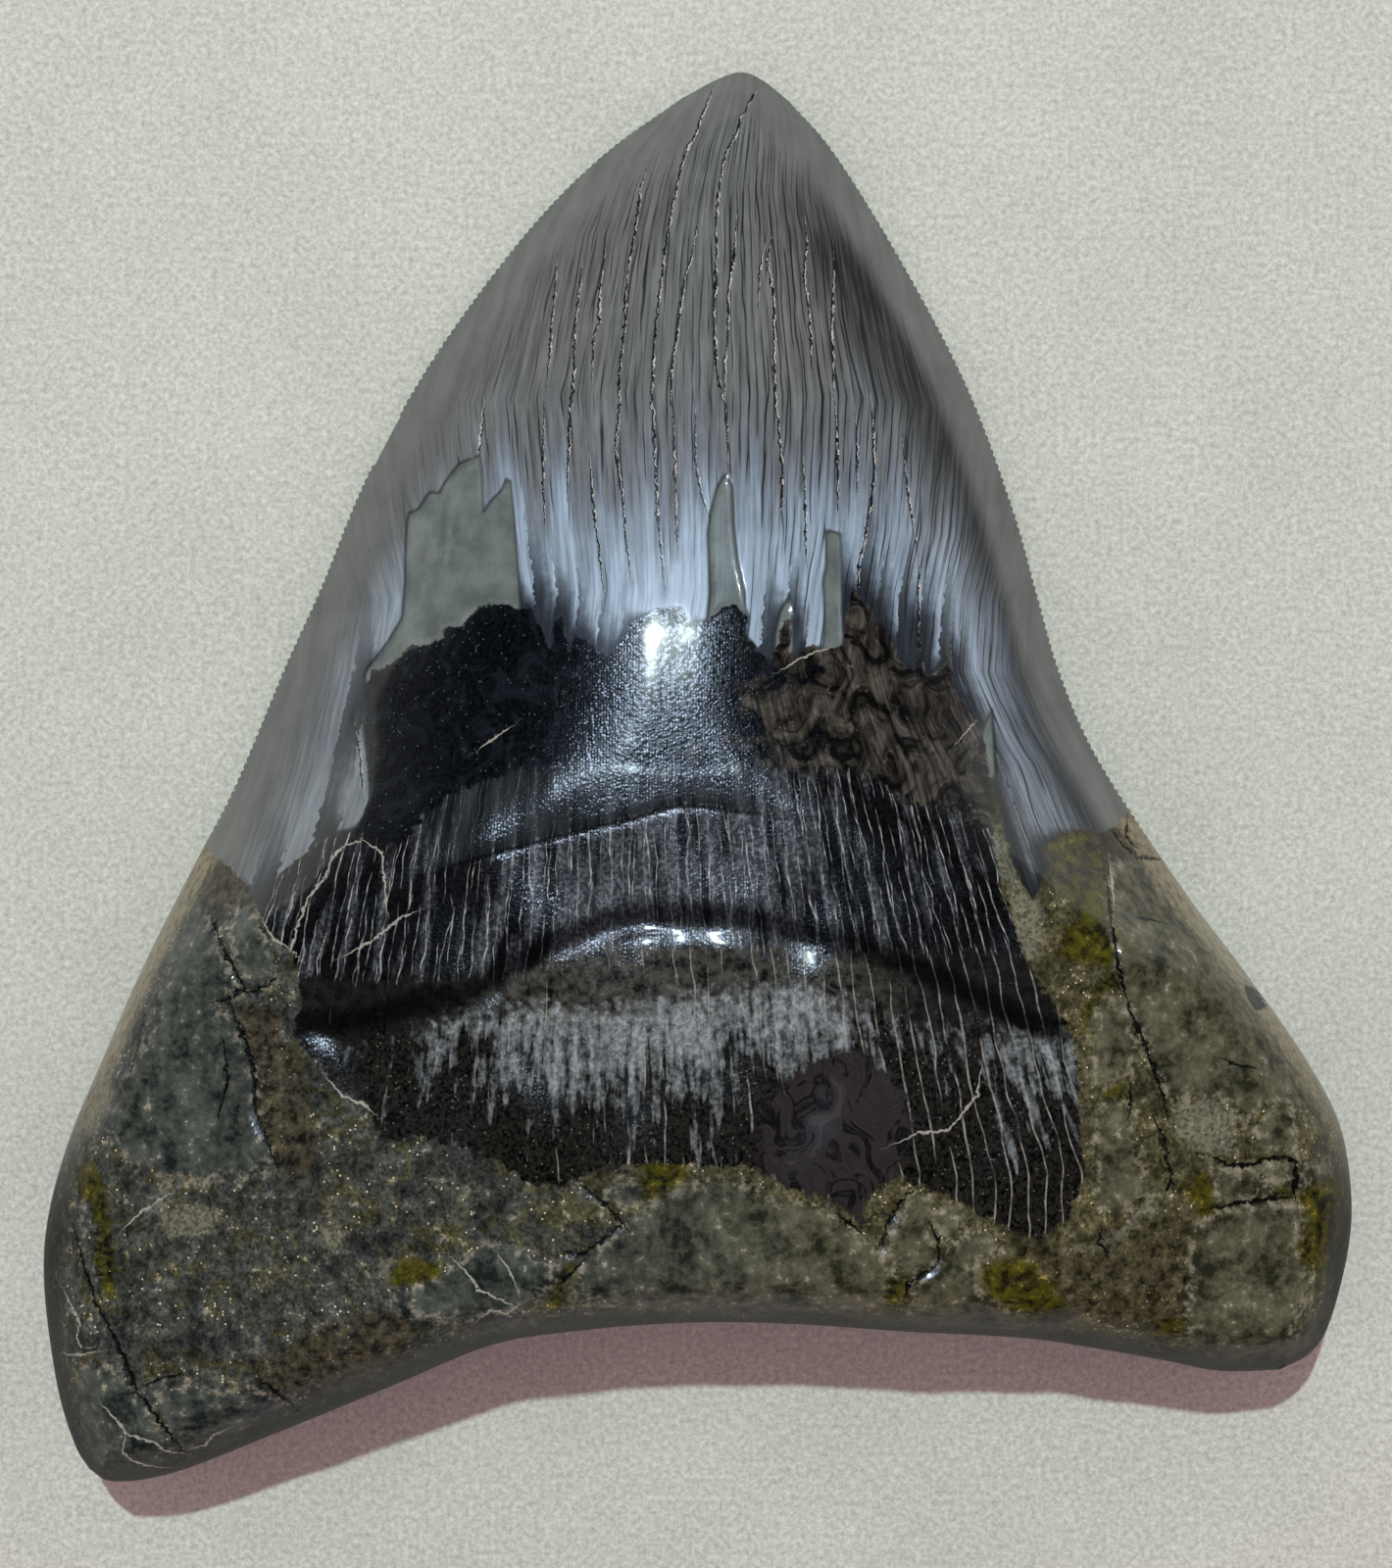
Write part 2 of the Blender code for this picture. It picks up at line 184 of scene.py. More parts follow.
# The underside has a low ledge along the edge of its enamel, and a shallow hollow in its root. Its stone
# is the upper face's stone turned left to right, and shifted so that the two don't match.
LOWER_SHIFT = [4.0, 1.5]
LOWER_ENAMEL_EDGE = [
    (-48.0, -8.5), (-38.0, -9.0), (-26.0, -12.5), (-14.0, -16.5), (-4.0, -20.0), (2.0, -21.0),
    (8.0, -20.0), (18.0, -16.5), (28.0, -12.0), (37.0, -7.5), (44.0, -5.0),
]
LOWER_STEP = 0.4
LOWER_STEP_REACH = 5.0
ROOT_HOLLOWS = [(1.0, -41.0, 0.9, 9.0), (-14.0, -43.0, 0.5, 7.0), (15.0, -41.0, 0.5, 7.0)]

# The enamel grew in strands that run from the root to the tip and spread out like a fan. For each y,
# the x of the strand that runs straight up, how closely the strands lie, and their count up to there.
STRAND_GUIDE = [
    (66.6, 4.3, 3.0, 0.0), (62.6, 3.8, 1.9, 0.0), (58.6, 2.9, 1.45, 0.0), (54.4, 2.3, 1.33, 0.0),
    (50.2, 2.1, 1.2, 0.0), (42.2, 2.0, 1.1, 0.0), (34.2, 2.1, 1.0, 0.0), (21.7, 2.1, 1.08, 0.0),
    (15.8, 1.9, 1.15, 0.0), (9.1, 1.2, 1.15, 0.0), (0.4, -8.0, 1.05, -11.35),
    (-5.7, -8.0, 1.0, -11.35), (-18.6, -8.0, 0.907, -11.35), (-35.8, -8.0, 0.81, -11.35),
]

# The neck's dentine runs on under the enamel above it.
NECK_UNDER_ENAMEL = [(27.5, 2.0), (27.5, 18.0), (-32.5, 18.0), (-32.5, -4.0), (-39.0, -8.5)]

# Corners outside the tooth that close the patch of its enamel, on the upper face and on the underside.
PAST_CROWN = [(62.0, -3.0), (62.0, 80.0), (-62.0, 80.0), (-62.0, -7.0)]
LOWER_PAST_CROWN = [(62.0, -5.0), (62.0, 80.0), (-62.0, 80.0), (-62.0, -8.5)]

# Stage, in metres unless a comment says otherwise.
FLOOR_SIZE = 3.0
FLOOR_HEIGHT = -0.00005  # just under the tooth, so that the two don't touch
FAR_STARTS = 0.12  # from here out, the floor turns to its far colour: painted paler and greener where the light fades
FAR_FULL = 1.2
SPECKLE_SIZE = 10 / 19  # in mm
DRIFT_SIZE = 20.0  # in mm
CAMERA_PLACE = (-0.00014, -0.00137)
CAMERA_LENS = 71.35  # in mm
SENSOR_HEIGHT = 36.0  # in mm
KEY_PLACE = (-0.085, 0.64, 1.45)
KEY_TARGET = (0.0, 0.0, 0.0)
KEY_SIZE = 0.04
KEY_COLOUR = (0.82, 0.98, 0.98)  # a linear colour

# Grain of the stone. The glints are painted highlights; the real ones are finer: these are drawn as coarse as
# they need to show.
GRAIN_SIZE = 0.26
GRAIN_TILT = 0.11  # slope of the grains' facets
GLINT_SIZE = 0.24
GLINT_SHARE = 0.03  # part of those cells that shine
FIBRE_HEIGHT = 0.012

# Noise laid over the skin, as the size of its lumps, its detail and its roughness.
SKIN_NOISE = {
    "mottle": (10 / 3, 5.0, 0.6),
    "speck": (10 / 9, 5.0, 0.7),
    "grit": (2 / 3, 3.0, 0.6),
    "wobble": (10 / 11, 3.0, 0.6),
}
WAVE_SIZE = 10 / 3

# Streaks along the growth strands, as their width in strands, their length in mm, seed and detail.
STREAKS = {"fibre": (0.42, 7.0, 2.0, 4.0), "veil": (1.3, 10.0, 3.0, 4.0), "silver": (0.5, 3.2, 4.0, 5.0)}
HAZE_STREAKS = (2.6, 30.0, 1.0, 2.0)
STREAK_GAP = 17.3  # keeps the noise of each seed apart from that of the next

# Fine cracks and filled veins that run along the strands, as their spacing in strands, the length of one
# bend in mm, their seed, and their width in strands. The band's veins have their colour too.
ENAMEL_LINES = [(0.75, 11.0, 11.0, 0.09), (1.7, 14.0, 12.0, 0.13)]
BAND_VEINS = [(0.95, 4.5, 22.0, 0.055, "#a2a9a4"), (1.7, 6.5, 23.0, 0.075, "#acb2ac")]
FOOT_VEINS = (1.3, 9.0, 35.0, 0.08)
LINE_GAP = 97.31  # keeps the noise along one line apart from that of the next

# Roughness of each kind of stone under the clear polish.
ENAMEL_ROUGH = 0.34
STONE_ROUGH = 0.23
AMBER_ROUGH = 0.12
VEIN_ROUGH = 0.3
CRACK_ROUGH = 0.4
FOOT_ROUGH = 0.65

# Lower edge of the enamel on the upper face, from left to right.
ENAMEL_EDGE = [
    (-46.6, -7.3), (-44.2, -8.4), (-41.8, -9.9), (-40.5, -10.8), (-39.8, -11.9), (-39, -13.2),
    (-38.7, -11.4), (-37.7, -9.4), (-36, -8.2), (-34.4, -6.8), (-32.9, -6), (-30.7, -5.4), (-30, -4.2),
    (-29.6, -2.8), (-29.7, -0.7), (-30.1, 1.7), (-30.5, 3.5), (-30.5, 5.9), (-30.5, 8), (-30.1, 9.1),
    (-29.3, 9.1), (-27.8, 9.9), (-26.3, 11.3), (-24.7, 11.3), (-23.1, 12),
    (-23.1, 12.8), (-21.3, 13.1), (-19.8, 14.6), (-18.4, 14.8), (-16.6, 14.8),
    (-16, 14.1), (-15.2, 14.5), (-14, 12.5), (-13.1, 10.5), (-12.7, 12.9), (-12.3, 13.6),
    (-11.4, 10.2), (-10.9, 11.9), (-10.2, 11.6), (-8.1, 9.9), (-6.7, 11.4), (-5.9, 12.9), (-3.9, 14.2),
    (-1.4, 14.3), (-0.9, 13.2), (0, 12.9), (1.1, 13.2), (2.2, 14.3), (3.3, 14.6), (4.4, 13.7),
    (4.2, 11.8), (5.3, 10.7), (6.4, 9.2), (7.1, 11.3), (7.8, 13.5), (8.4, 13), (8.1, 10.4),
    (8.8, 9.9), (9.7, 10.9), (11.3, 10.8), (13, 10.9), (13.4, 14.2), (13.9, 15.9), (15.6, 14.6),
    (16.5, 13), (17.7, 11.5), (18.6, 9.4), (19.8, 8.9), (20.1, 13.3), (20.3, 9.3), (20.9, 8.5),
    (21.4, 8.5), (23.2, 10.2), (23.3, 7.6), (24.3, 6.3), (25.9, 3.5), (26.4, 2.2), (26.6, -1.4),
    (27.3, -3.8), (27.9, -7.3), (28.8, -10.1), (29.8, -11.9), (30.5, -10.6), (31.2, -9), (31.2, -7.2),
    (32.7, -6.1), (34.4, -5.5), (36.2, -5.5), (37.3, -5.9), (38.5, -5.6), (39.9, -4.7), (41.2, -3.4),
]
# Edge of the dark neck below the enamel, round its left, lower and right side.
NECK_EDGE = [
    (-40.5, -10.8), (-39, -13.2), (-38.4, -14.4), (-36.8, -15.6), (-36.1, -16.3), (-35.5, -18.1),
    (-35.2, -21.3), (-36, -22.4), (-35.8, -23.9), (-35, -24.7), (-33.6, -26.3), (-33.3, -26.8),
    (-32.4, -27.9), (-30.6, -28.8), (-28.8, -30.2), (-28.7, -31.7), (-28, -32.8), (-26.2, -32.9),
    (-24.5, -32.6), (-21.7, -33.2), (-20.1, -33.4), (-18.3, -34.2), (-16.8, -35.2), (-15.2, -36.5),
    (-13.4, -36.8), (-11, -36.5), (-10, -35.5), (-7.9, -35.1), (-4.3, -34.6),
    (-1.2, -34.8), (1.8, -35), (4.4, -34.8), (5.7, -35.4), (7.4, -36.5), (10, -37.4), (12.6, -38.5),
    (14.8, -40.6), (14.4, -38.5), (15.7, -37), (17.8, -35.7), (18.7, -36.6), (21.7, -37.5),
    (24.7, -39.3), (26.9, -40.6), (30.4, -41.8), (33.1, -39.9), (34.4, -36.5), (33.9, -30.8),
    (33.5, -23.9), (31.3, -20.4), (29.9, -18.6), (28.8, -16.5), (27.8, -13.4), (26.8, -10.4),
    (26.5, -7.4), (26.5, -4),
]
# Top of the striped band of the neck.
BAND_TOP = [
    (-31.3, -5.7), (-30.1, -6), (-28.2, -7.2), (-26.7, -6.8), (-25.2, -5.6), (-24.1, -4.2),
    (-22.4, -2.7), (-20.3, -1.4), (-16.3, -0.3), (-12.8, -0.1), (-7.2, 0.6), (-1.2, 0), (4.4, 0.6),
    (7.5, -0.5), (10.1, -0.5), (14.5, 0), (17.5, -2.6), (22.8, -4), (26.8, -5.9),
]
# Crack under the smooth lens in the band.
LENS_CRACK = [
    (-24.9, -9.9), (-21.9, -8.7), (-18.4, -7.6), (-14.1, -6.5), (-11.1, -5.7), (-8, -5), (-5.5, -4.4),
    (-3.3, -3.7), (-1.6, -3.3), (0.6, -3.4), (2.7, -3.7), (6.2, -4.1), (9.6, -5),
]
# Deep fold across the neck, and the bright lip under it.
FOLD = [
    (-31.6, -22.6), (-28, -21.9), (-24.9, -20.8), (-20.6, -20), (-17.1, -17.7), (-12.3, -15.1),
    (-8, -13.4), (-4.6, -12.8), (-0.3, -12.8), (5.3, -13.2), (9.6, -14.7), (14.3, -15.5),
    (17.4, -16.8), (21.7, -18.6), (26.1, -20.8), (30.5, -23.1),
]
FOLD_LIP = [
    (-16.7, -18.4), (-14, -17.3), (-11.9, -16.7), (-9.8, -15.7), (-8, -15.3), (-4.6, -14.9),
    (-1.2, -15.5), (2.7, -15.7), (5.7, -16),
]
# Top of the black blotches at the foot of the neck.
BLOTCH_TOP = [
    (-28.8, -24.3), (-24, -26.3), (-22, -26.3), (-18.4, -27.4), (-16.4, -26.9), (-12.7, -30.1),
    (-9.7, -28.8), (-5.4, -29.6), (-1.6, -30.1), (1.4, -28.8), (3.1, -25.4), (5.3, -24.5),
    (6.6, -27.1), (10, -28.8), (14.3, -25.4), (18.2, -25), (21.6, -24.1), (25.1, -25.9), (29.1, -29.9),
    (33.5, -30.4),
]
# Top of the silvery band above them.
SILVER_TOP = [
    (-31.5, -26), (-24.9, -23.7), (-20.5, -22), (-14.9, -21.1), (-9.7, -21.5), (-4.6, -20.6),
    (-0.3, -20.2), (5.3, -19.4), (10, -19.3), (13.9, -21.1), (18.2, -22.8), (22.5, -23.7),
]
# Swirled agate at the foot of the neck.
SWIRL = [
    (5.3, -34.8), (5.7, -31.3), (7.4, -27.9), (10, -25.8), (13.4, -24.5), (16, -26.3), (18.2, -28.8),
    (19, -32.3), (17.8, -35.7), (15.7, -37), (14.4, -38.5), (14.8, -40.6), (12.6, -38.5), (10, -37.4),
    (7.4, -36.5),
]
# Places where the surface of the enamel has flaked off.
FLAKES = [
    [(-27.1, 24), (-26.1, 24.2), (-25, 25.9), (-24, 25.6), (-23.7, 26.3), (-23, 27.3), (-22.1, 28.4),
     (-20.2, 29), (-19.9, 27.9), (-19.6, 23.5), (-18.9, 24.6), (-18, 25.4), (-17.5, 26.6),
     (-17.1, 26.3), (-16.7, 22.9), (-16.4, 20), (-16.1, 17.1), (-15.9, 14.5), (-16.6, 13.7),
     (-22.5, 11.5), (-26.9, 8.8), (-30.3, 7.1), (-30.8, 8.9), (-28.6, 11.7), (-27.2, 14), (-27.1, 17.6),
     (-27.2, 21.2)],
    [(2.5, 26.6), (1.7, 25.2), (1.2, 23.1), (0.9, 21.1), (1, 18.6), (1.1, 15.7), (0.8, 12.4), (3, 12.9),
     (4.3, 13.5), (4.2, 15.8), (3.6, 18.6), (3.3, 21.4), (3.1, 25.5)],
    [(8.2, 15.5), (7.4, 14.1), (6.9, 11.9), (6.8, 9.6), (7.6, 9.6), (8.6, 10.5), (8.5, 13.3)],
    [(11.6, 21.6), (12.9, 21.3), (13, 18.2), (12.9, 14.2), (13.2, 10.5), (11.6, 9.4), (10.2, 9.1),
     (9.7, 10.8), (11.2, 10.9), (11.4, 13.6), (11.3, 17), (11.6, 18.2)],
    [(23.2, 10.2), (22.2, 9.3), (21.2, 8.6), (21.7, 7), (23.3, 7.5)],
    [(27.2, 5.7), (26.2, 3.6), (25.6, 1.3), (26.4, -1.4), (27.2, -0.5), (27.2, 3.1)],
]
# Amber-coloured calcite between the plates of the root.
AMBER = [
    [(31.6, -6.9), (33.0, -5.9), (35.2, -5.7), (36.6, -6.4), (36.9, -9.0), (36.4, -11.8),
     (34.9, -12.2), (33.2, -9.8)],
    [(33.1, -10.4), (35.1, -9.5), (36.6, -9.3), (36.9, -11.4), (36.8, -14.4), (37.1, -17.1),
     (36.4, -18.2), (35.4, -17.2), (34, -17.5), (32.1, -16.9), (32, -14.8), (33.9, -13.2),
     (33.4, -11.8)],
    [(36.5, -18.3), (37.5, -19.4), (36.2, -19.9), (35.3, -21.4), (34.5, -23.2), (34, -22.5),
     (34.4, -20.9), (35.4, -19.5)],
    [(35.5, -28.9), (37.6, -27.9), (38.2, -28.4), (38.1, -29.4), (36.6, -29.5)],
    [(42.9, -37.8), (44.2, -36.3), (45.7, -35.7), (46.1, -37.9), (46.4, -39.8), (45, -40.6),
     (44.3, -38.8)],
    [(51.9, -38.1), (53.1, -37.6), (53.9, -38.4), (53.7, -38.9), (51.8, -38.9)],
    [(54.1, -38.7), (56, -37.5), (59.3, -36.7), (60.4, -39.3), (59.8, -41.9), (58.6, -44.9),
     (57.5, -47.4), (56.1, -45.8), (54.5, -44.8), (54, -43.2), (55.6, -41.2), (54.9, -39.6)],
    [(24.9, -43.9), (27.4, -43.3), (29.7, -43.9), (31.6, -45.5), (32.8, -48.1), (33.5, -49.6),
     (31.7, -50.1), (29.4, -48.6), (26.8, -47.5), (25.1, -45.7)],
    [(39.6, -49.6), (41.7, -49.3), (43.8, -49.4), (43.8, -51.1), (41.5, -51.9), (39.8, -51.5)],
    [(-27.1, -43.7), (-25.2, -43.5), (-22.9, -43.7), (-22.2, -44.4), (-23.6, -45.3), (-26.2, -46.1),
     (-27.2, -45.9)],
    [(-5, -34.5), (-2.7, -34.3), (-0.5, -34.7), (-0.9, -36), (-2.7, -37.1), (-4.6, -38.1),
     (-4.9, -36.5)],
    [(-13.1, -46.6), (-12, -44.7), (-11.6, -43.2), (-10.7, -43.7), (-11.7, -46.3), (-12.3, -48.9),
     (-13.3, -49.2)],
    [(16.9, -45.3), (18, -44.5), (18.7, -45.6), (17.8, -47.5), (16.8, -48.7), (16.2, -47.7)],
    [(-54.8, -35.2), (-54, -37.2), (-52.8, -40.6), (-52.5, -43.6), (-52.4, -47), (-53.1, -47.9),
     (-54, -46.3), (-54.9, -44.2), (-54.4, -41.6), (-55.1, -39.5), (-56.6, -38.6), (-56.9, -36.7)],
]
# Patches of brown grain in the root.
BROWN = [
    [(-45.0, -9.0), (-43.0, -7.3), (-39.8, -9.8), (-39.2, -12.8), (-42.0, -13.3), (-44.5, -11.5)],
    [(-46.4, -7), (-43.2, -8.5), (-41.1, -9.9), (-40.3, -11.5), (-41.7, -12.1), (-42.9, -12.9),
     (-44.3, -12.7), (-45.3, -11.7), (-45.1, -9.6), (-47.3, -9.6), (-47.3, -8.2)],
    [(-40, -20.7), (-37.4, -21.8), (-36.8, -24.6), (-34.9, -26.6), (-34.5, -30.6), (-33.7, -34.6),
     (-35.5, -36.6), (-37.4, -35.7), (-38.9, -32.7), (-39.6, -29.7), (-39.2, -27.7), (-39.7, -25.9),
     (-40.7, -22.7)],
    [(31.4, -6.7), (33, -5.7), (35.2, -5.5), (37.1, -5.9), (37.4, -7.5), (36.8, -9.3), (35.1, -9.5),
     (33.4, -10.4), (32.3, -10.9), (31.2, -9.9)],
    [(27.4, -42.3), (32.3, -42.4), (37.1, -40.5), (42.3, -40.1), (44.5, -41.5), (44, -44.4),
     (44.6, -47.5), (43.8, -49.7), (39.9, -49.6), (34.6, -48.4), (31.3, -45.3), (29.7, -43.7)],
    [(-41.5, -53), (-37.5, -52), (-33.2, -49.3), (-27.8, -47.9), (-25.4, -49.2), (-25.7, -53.5),
     (-29.3, -54.8), (-33.6, -55.9), (-36.7, -56.4), (-39.1, -54.5)],
    [(-2.4, -36.7), (1.4, -36.1), (5.3, -36.5), (6.3, -38.8), (3.9, -40.5), (0.5, -40.3),
     (-2.2, -38.8)],
    [(-9.9, -35.7), (-7.3, -35.2), (-4.8, -34.7), (-4.8, -36.3), (-7.5, -36.2), (-9.2, -36.7)],
]
# Smooth dark plates of the root.
PLATES = [
    [(38.1, -8.4), (44, -8.5), (45.4, -10.4), (47.8, -14.3), (49.4, -17.8), (51.8, -21.6),
     (54.3, -26.3), (56.1, -30.3), (52.9, -30.2), (50.5, -30.3), (49, -32.2), (48.1, -29.8),
     (43.2, -29.5), (41.7, -28.9), (40.7, -26.6), (39.8, -24.2), (38.6, -21.9), (37.8, -19.5),
     (37.3, -16.2), (37.2, -13.3), (37.3, -10.3)],
    [(36.2, -20.5), (38.3, -20.6), (39, -24.2), (38.3, -27.2), (36.1, -28.6), (35.4, -27.9),
     (35.2, -24.1), (34.6, -22.5)],
    [(35.7, -29.7), (38.3, -29.6), (39.2, -33.5), (40.3, -37.8), (37.4, -39.9), (35.5, -38.2),
     (35.4, -33.5)],
    [(51.5, -30.4), (53.6, -30.7), (54.1, -34.7), (50.3, -34.8), (50.5, -32.2)],
    [(-46.6, -12), (-45, -12.9), (-43.6, -14.8), (-42.2, -17.1), (-41.3, -18.7), (-40.9, -19.7),
     (-42.7, -20.8), (-43, -21.9), (-41.1, -22.7), (-40.3, -24.7), (-39.4, -27.7), (-39.5, -30.7),
     (-38.6, -32.7), (-37.8, -35.7), (-40.7, -36.3), (-47, -36.5), (-51.2, -35.5), (-53.7, -32.3),
     (-53.1, -29.7), (-50.8, -26.6), (-49.4, -22.6), (-48.3, -19), (-47.9, -16), (-47.5, -13.7)],
    [(-42.2, -12.3), (-40.2, -12.8), (-38.7, -14.5), (-37.7, -16), (-37.6, -17.8), (-38.4, -19.4),
     (-39.4, -19.9), (-40.4, -19.5), (-40.9, -17.9), (-41.9, -15.3)],
    [(-27.2, -46.4), (-23.6, -45.3), (-21.2, -43.7), (-18.3, -42), (-16.1, -42), (-14.2, -43.3),
     (-12.3, -44.6), (-13.7, -46), (-15, -47.6), (-19, -48.8), (-23.6, -48.5), (-26.2, -47.9)],
    [(-9.9, -43.7), (-8.2, -41.7), (-6.3, -39.8), (-4.1, -38.1), (-1.7, -36.7), (1.4, -36.2),
     (4.3, -36.5), (7.5, -37.9), (11.1, -38.8), (13.1, -40.6), (15.3, -42.1), (16.7, -43.3),
     (17.4, -44.8), (16.7, -47.2), (13.7, -48.3), (3.9, -48), (-5.9, -47.5), (-10.6, -46.9)],
    [(-7.9, -37.2), (-7.3, -36.4), (-5.8, -36.2), (-4.7, -37), (-4.8, -37.9), (-6.1, -38.6),
     (-7.4, -38.3)],
    [(-9, -37.3), (-8.2, -37), (-7.7, -37.8), (-8.4, -38.4), (-9, -38)],
    [(16.5, -42.3), (17.5, -40.2), (19.2, -37.5), (20.7, -38), (20.8, -39.7), (20.4, -40.9),
     (21.2, -43.1), (20.4, -44.3), (18.9, -44.8), (17.2, -43.5)],
    [(20.9, -39.5), (21.9, -38.6), (23.3, -39), (23.6, -40.2), (22.4, -41.4), (21.3, -40.9)],
    [(18.9, -45.3), (20.4, -44.8), (21.7, -42.7), (23.5, -41.2), (25, -41), (26.9, -42.1),
     (24.6, -43.8), (24.2, -45.4), (25.7, -47.2), (27.9, -48.6), (29.6, -50.1), (24.6, -50.6),
     (19.3, -49.9)],
    [(45, -40.5), (47.1, -39.5), (50.4, -39.1), (54, -39.4), (54.9, -41.2), (54, -43.7), (55.2, -46.4),
     (54.6, -49), (53.4, -51.2), (59.3, -51.8), (58, -55.1), (51.5, -55), (45.3, -53.8), (43.9, -51.1),
     (44, -48.6), (44.2, -44.4)],
    [(46.1, -35.8), (48.4, -36.2), (50.5, -36), (50.6, -37.4), (51.8, -37.9), (51.6, -38.7),
     (48.2, -39), (46.6, -39.2), (46.3, -37.4)],
    [(50.7, -35.7), (52, -35.3), (53.4, -35.7), (53.5, -36.9), (52.9, -37.5), (51.5, -37.5)],
    [(54.1, -35.9), (56, -35.6), (58.3, -36.3), (57.6, -36.9), (55.5, -37.4), (54.1, -38.3)],
    [(-48.7, -56.4), (-45.5, -55.4), (-41.4, -55.8), (-38.8, -55.7), (-36.8, -57), (-40.2, -59),
     (-44.6, -60.6), (-46.8, -61.3), (-48.1, -59.3)],
    [(-56, -54.1), (-54.1, -54.1), (-52.4, -54.4), (-51.1, -56.1), (-49.8, -58), (-48, -60.5),
     (-47.8, -62.3), (-50.1, -64), (-53.3, -64.6), (-55.5, -63.6), (-56.2, -60.6), (-56.5, -57.1)],
    [(-56.4, -38.8), (-54.7, -40.1), (-54.5, -40.9), (-55.1, -42.3), (-56, -41.5)],
    [(-54.6, -43.8), (-53.4, -43.5), (-53.3, -44.5), (-54, -46.3), (-54.6, -45.5)],
]
# Patches of pale grain in the root.
PALE = [
    [(-46.8, -36.4), (-44.9, -36.4), (-43.6, -36.8), (-43.1, -37.3), (-44.1, -37.7), (-45.4, -37.2)],
    [(-48.9, -36.1), (-47.5, -36.5), (-47.2, -38.3), (-47.7, -39.8), (-49, -39.6), (-48.5, -38.1)],
    [(-47.9, -39.8), (-45.9, -38.8), (-43.2, -39.4), (-42.6, -40.9), (-45, -42), (-47.2, -42.1),
     (-48.6, -41.1)],
    [(-33.4, -40.6), (-32.3, -40.1), (-31.3, -41.4), (-31.7, -42.5), (-33.2, -42.5)],
    [(-28.3, -43.5), (-27, -43.2), (-26.8, -44.5), (-27.4, -45.6), (-28.3, -44.7)],
    [(42.7, -29.9), (45.6, -29.5), (48, -30.5), (48.3, -34.5), (45.3, -34.6), (42.7, -32.5)],
    [(51.6, -49.9), (52, -47.8), (54, -47.1), (55.3, -48), (54.3, -48.7), (52.9, -48.9), (52.2, -50.8)],
    [(23.3, -43.8), (24.8, -43), (27.4, -42.9), (27.4, -43.3), (24.9, -43.9), (25.1, -45.7),
     (24, -45.1)],
    [(32.8, -43), (35.5, -42.3), (38.1, -41.1), (39.1, -39), (41, -38), (41.2, -39.3), (39.4, -40.3),
     (38.1, -41.8), (35.5, -42.8)],
    [(-45.1, -22.6), (-43.6, -21.1), (-42.7, -21.9), (-43.2, -24.1), (-44.9, -23.8)],
    [(-55.9, -30.8), (-54.1, -28.8), (-52.5, -29.4), (-53.8, -31.3), (-55, -34), (-56.2, -32.6)],
    [(25.4, -5), (26.9, -4.6), (27.8, -7.8), (29.1, -10.8), (30.2, -11.8), (30.6, -12.9), (30.7, -16.1),
     (29.2, -17.1), (27.8, -15.7), (28.1, -12.4), (26.6, -8.3)],
    [(-6.2, -17.3), (-4.9, -17.6), (-5.3, -18.6), (-6.9, -18.8), (-7.2, -18.1)],
    [(30.4, -36.6), (31.3, -36.9), (31.2, -38.1), (30.5, -37.9)],
]
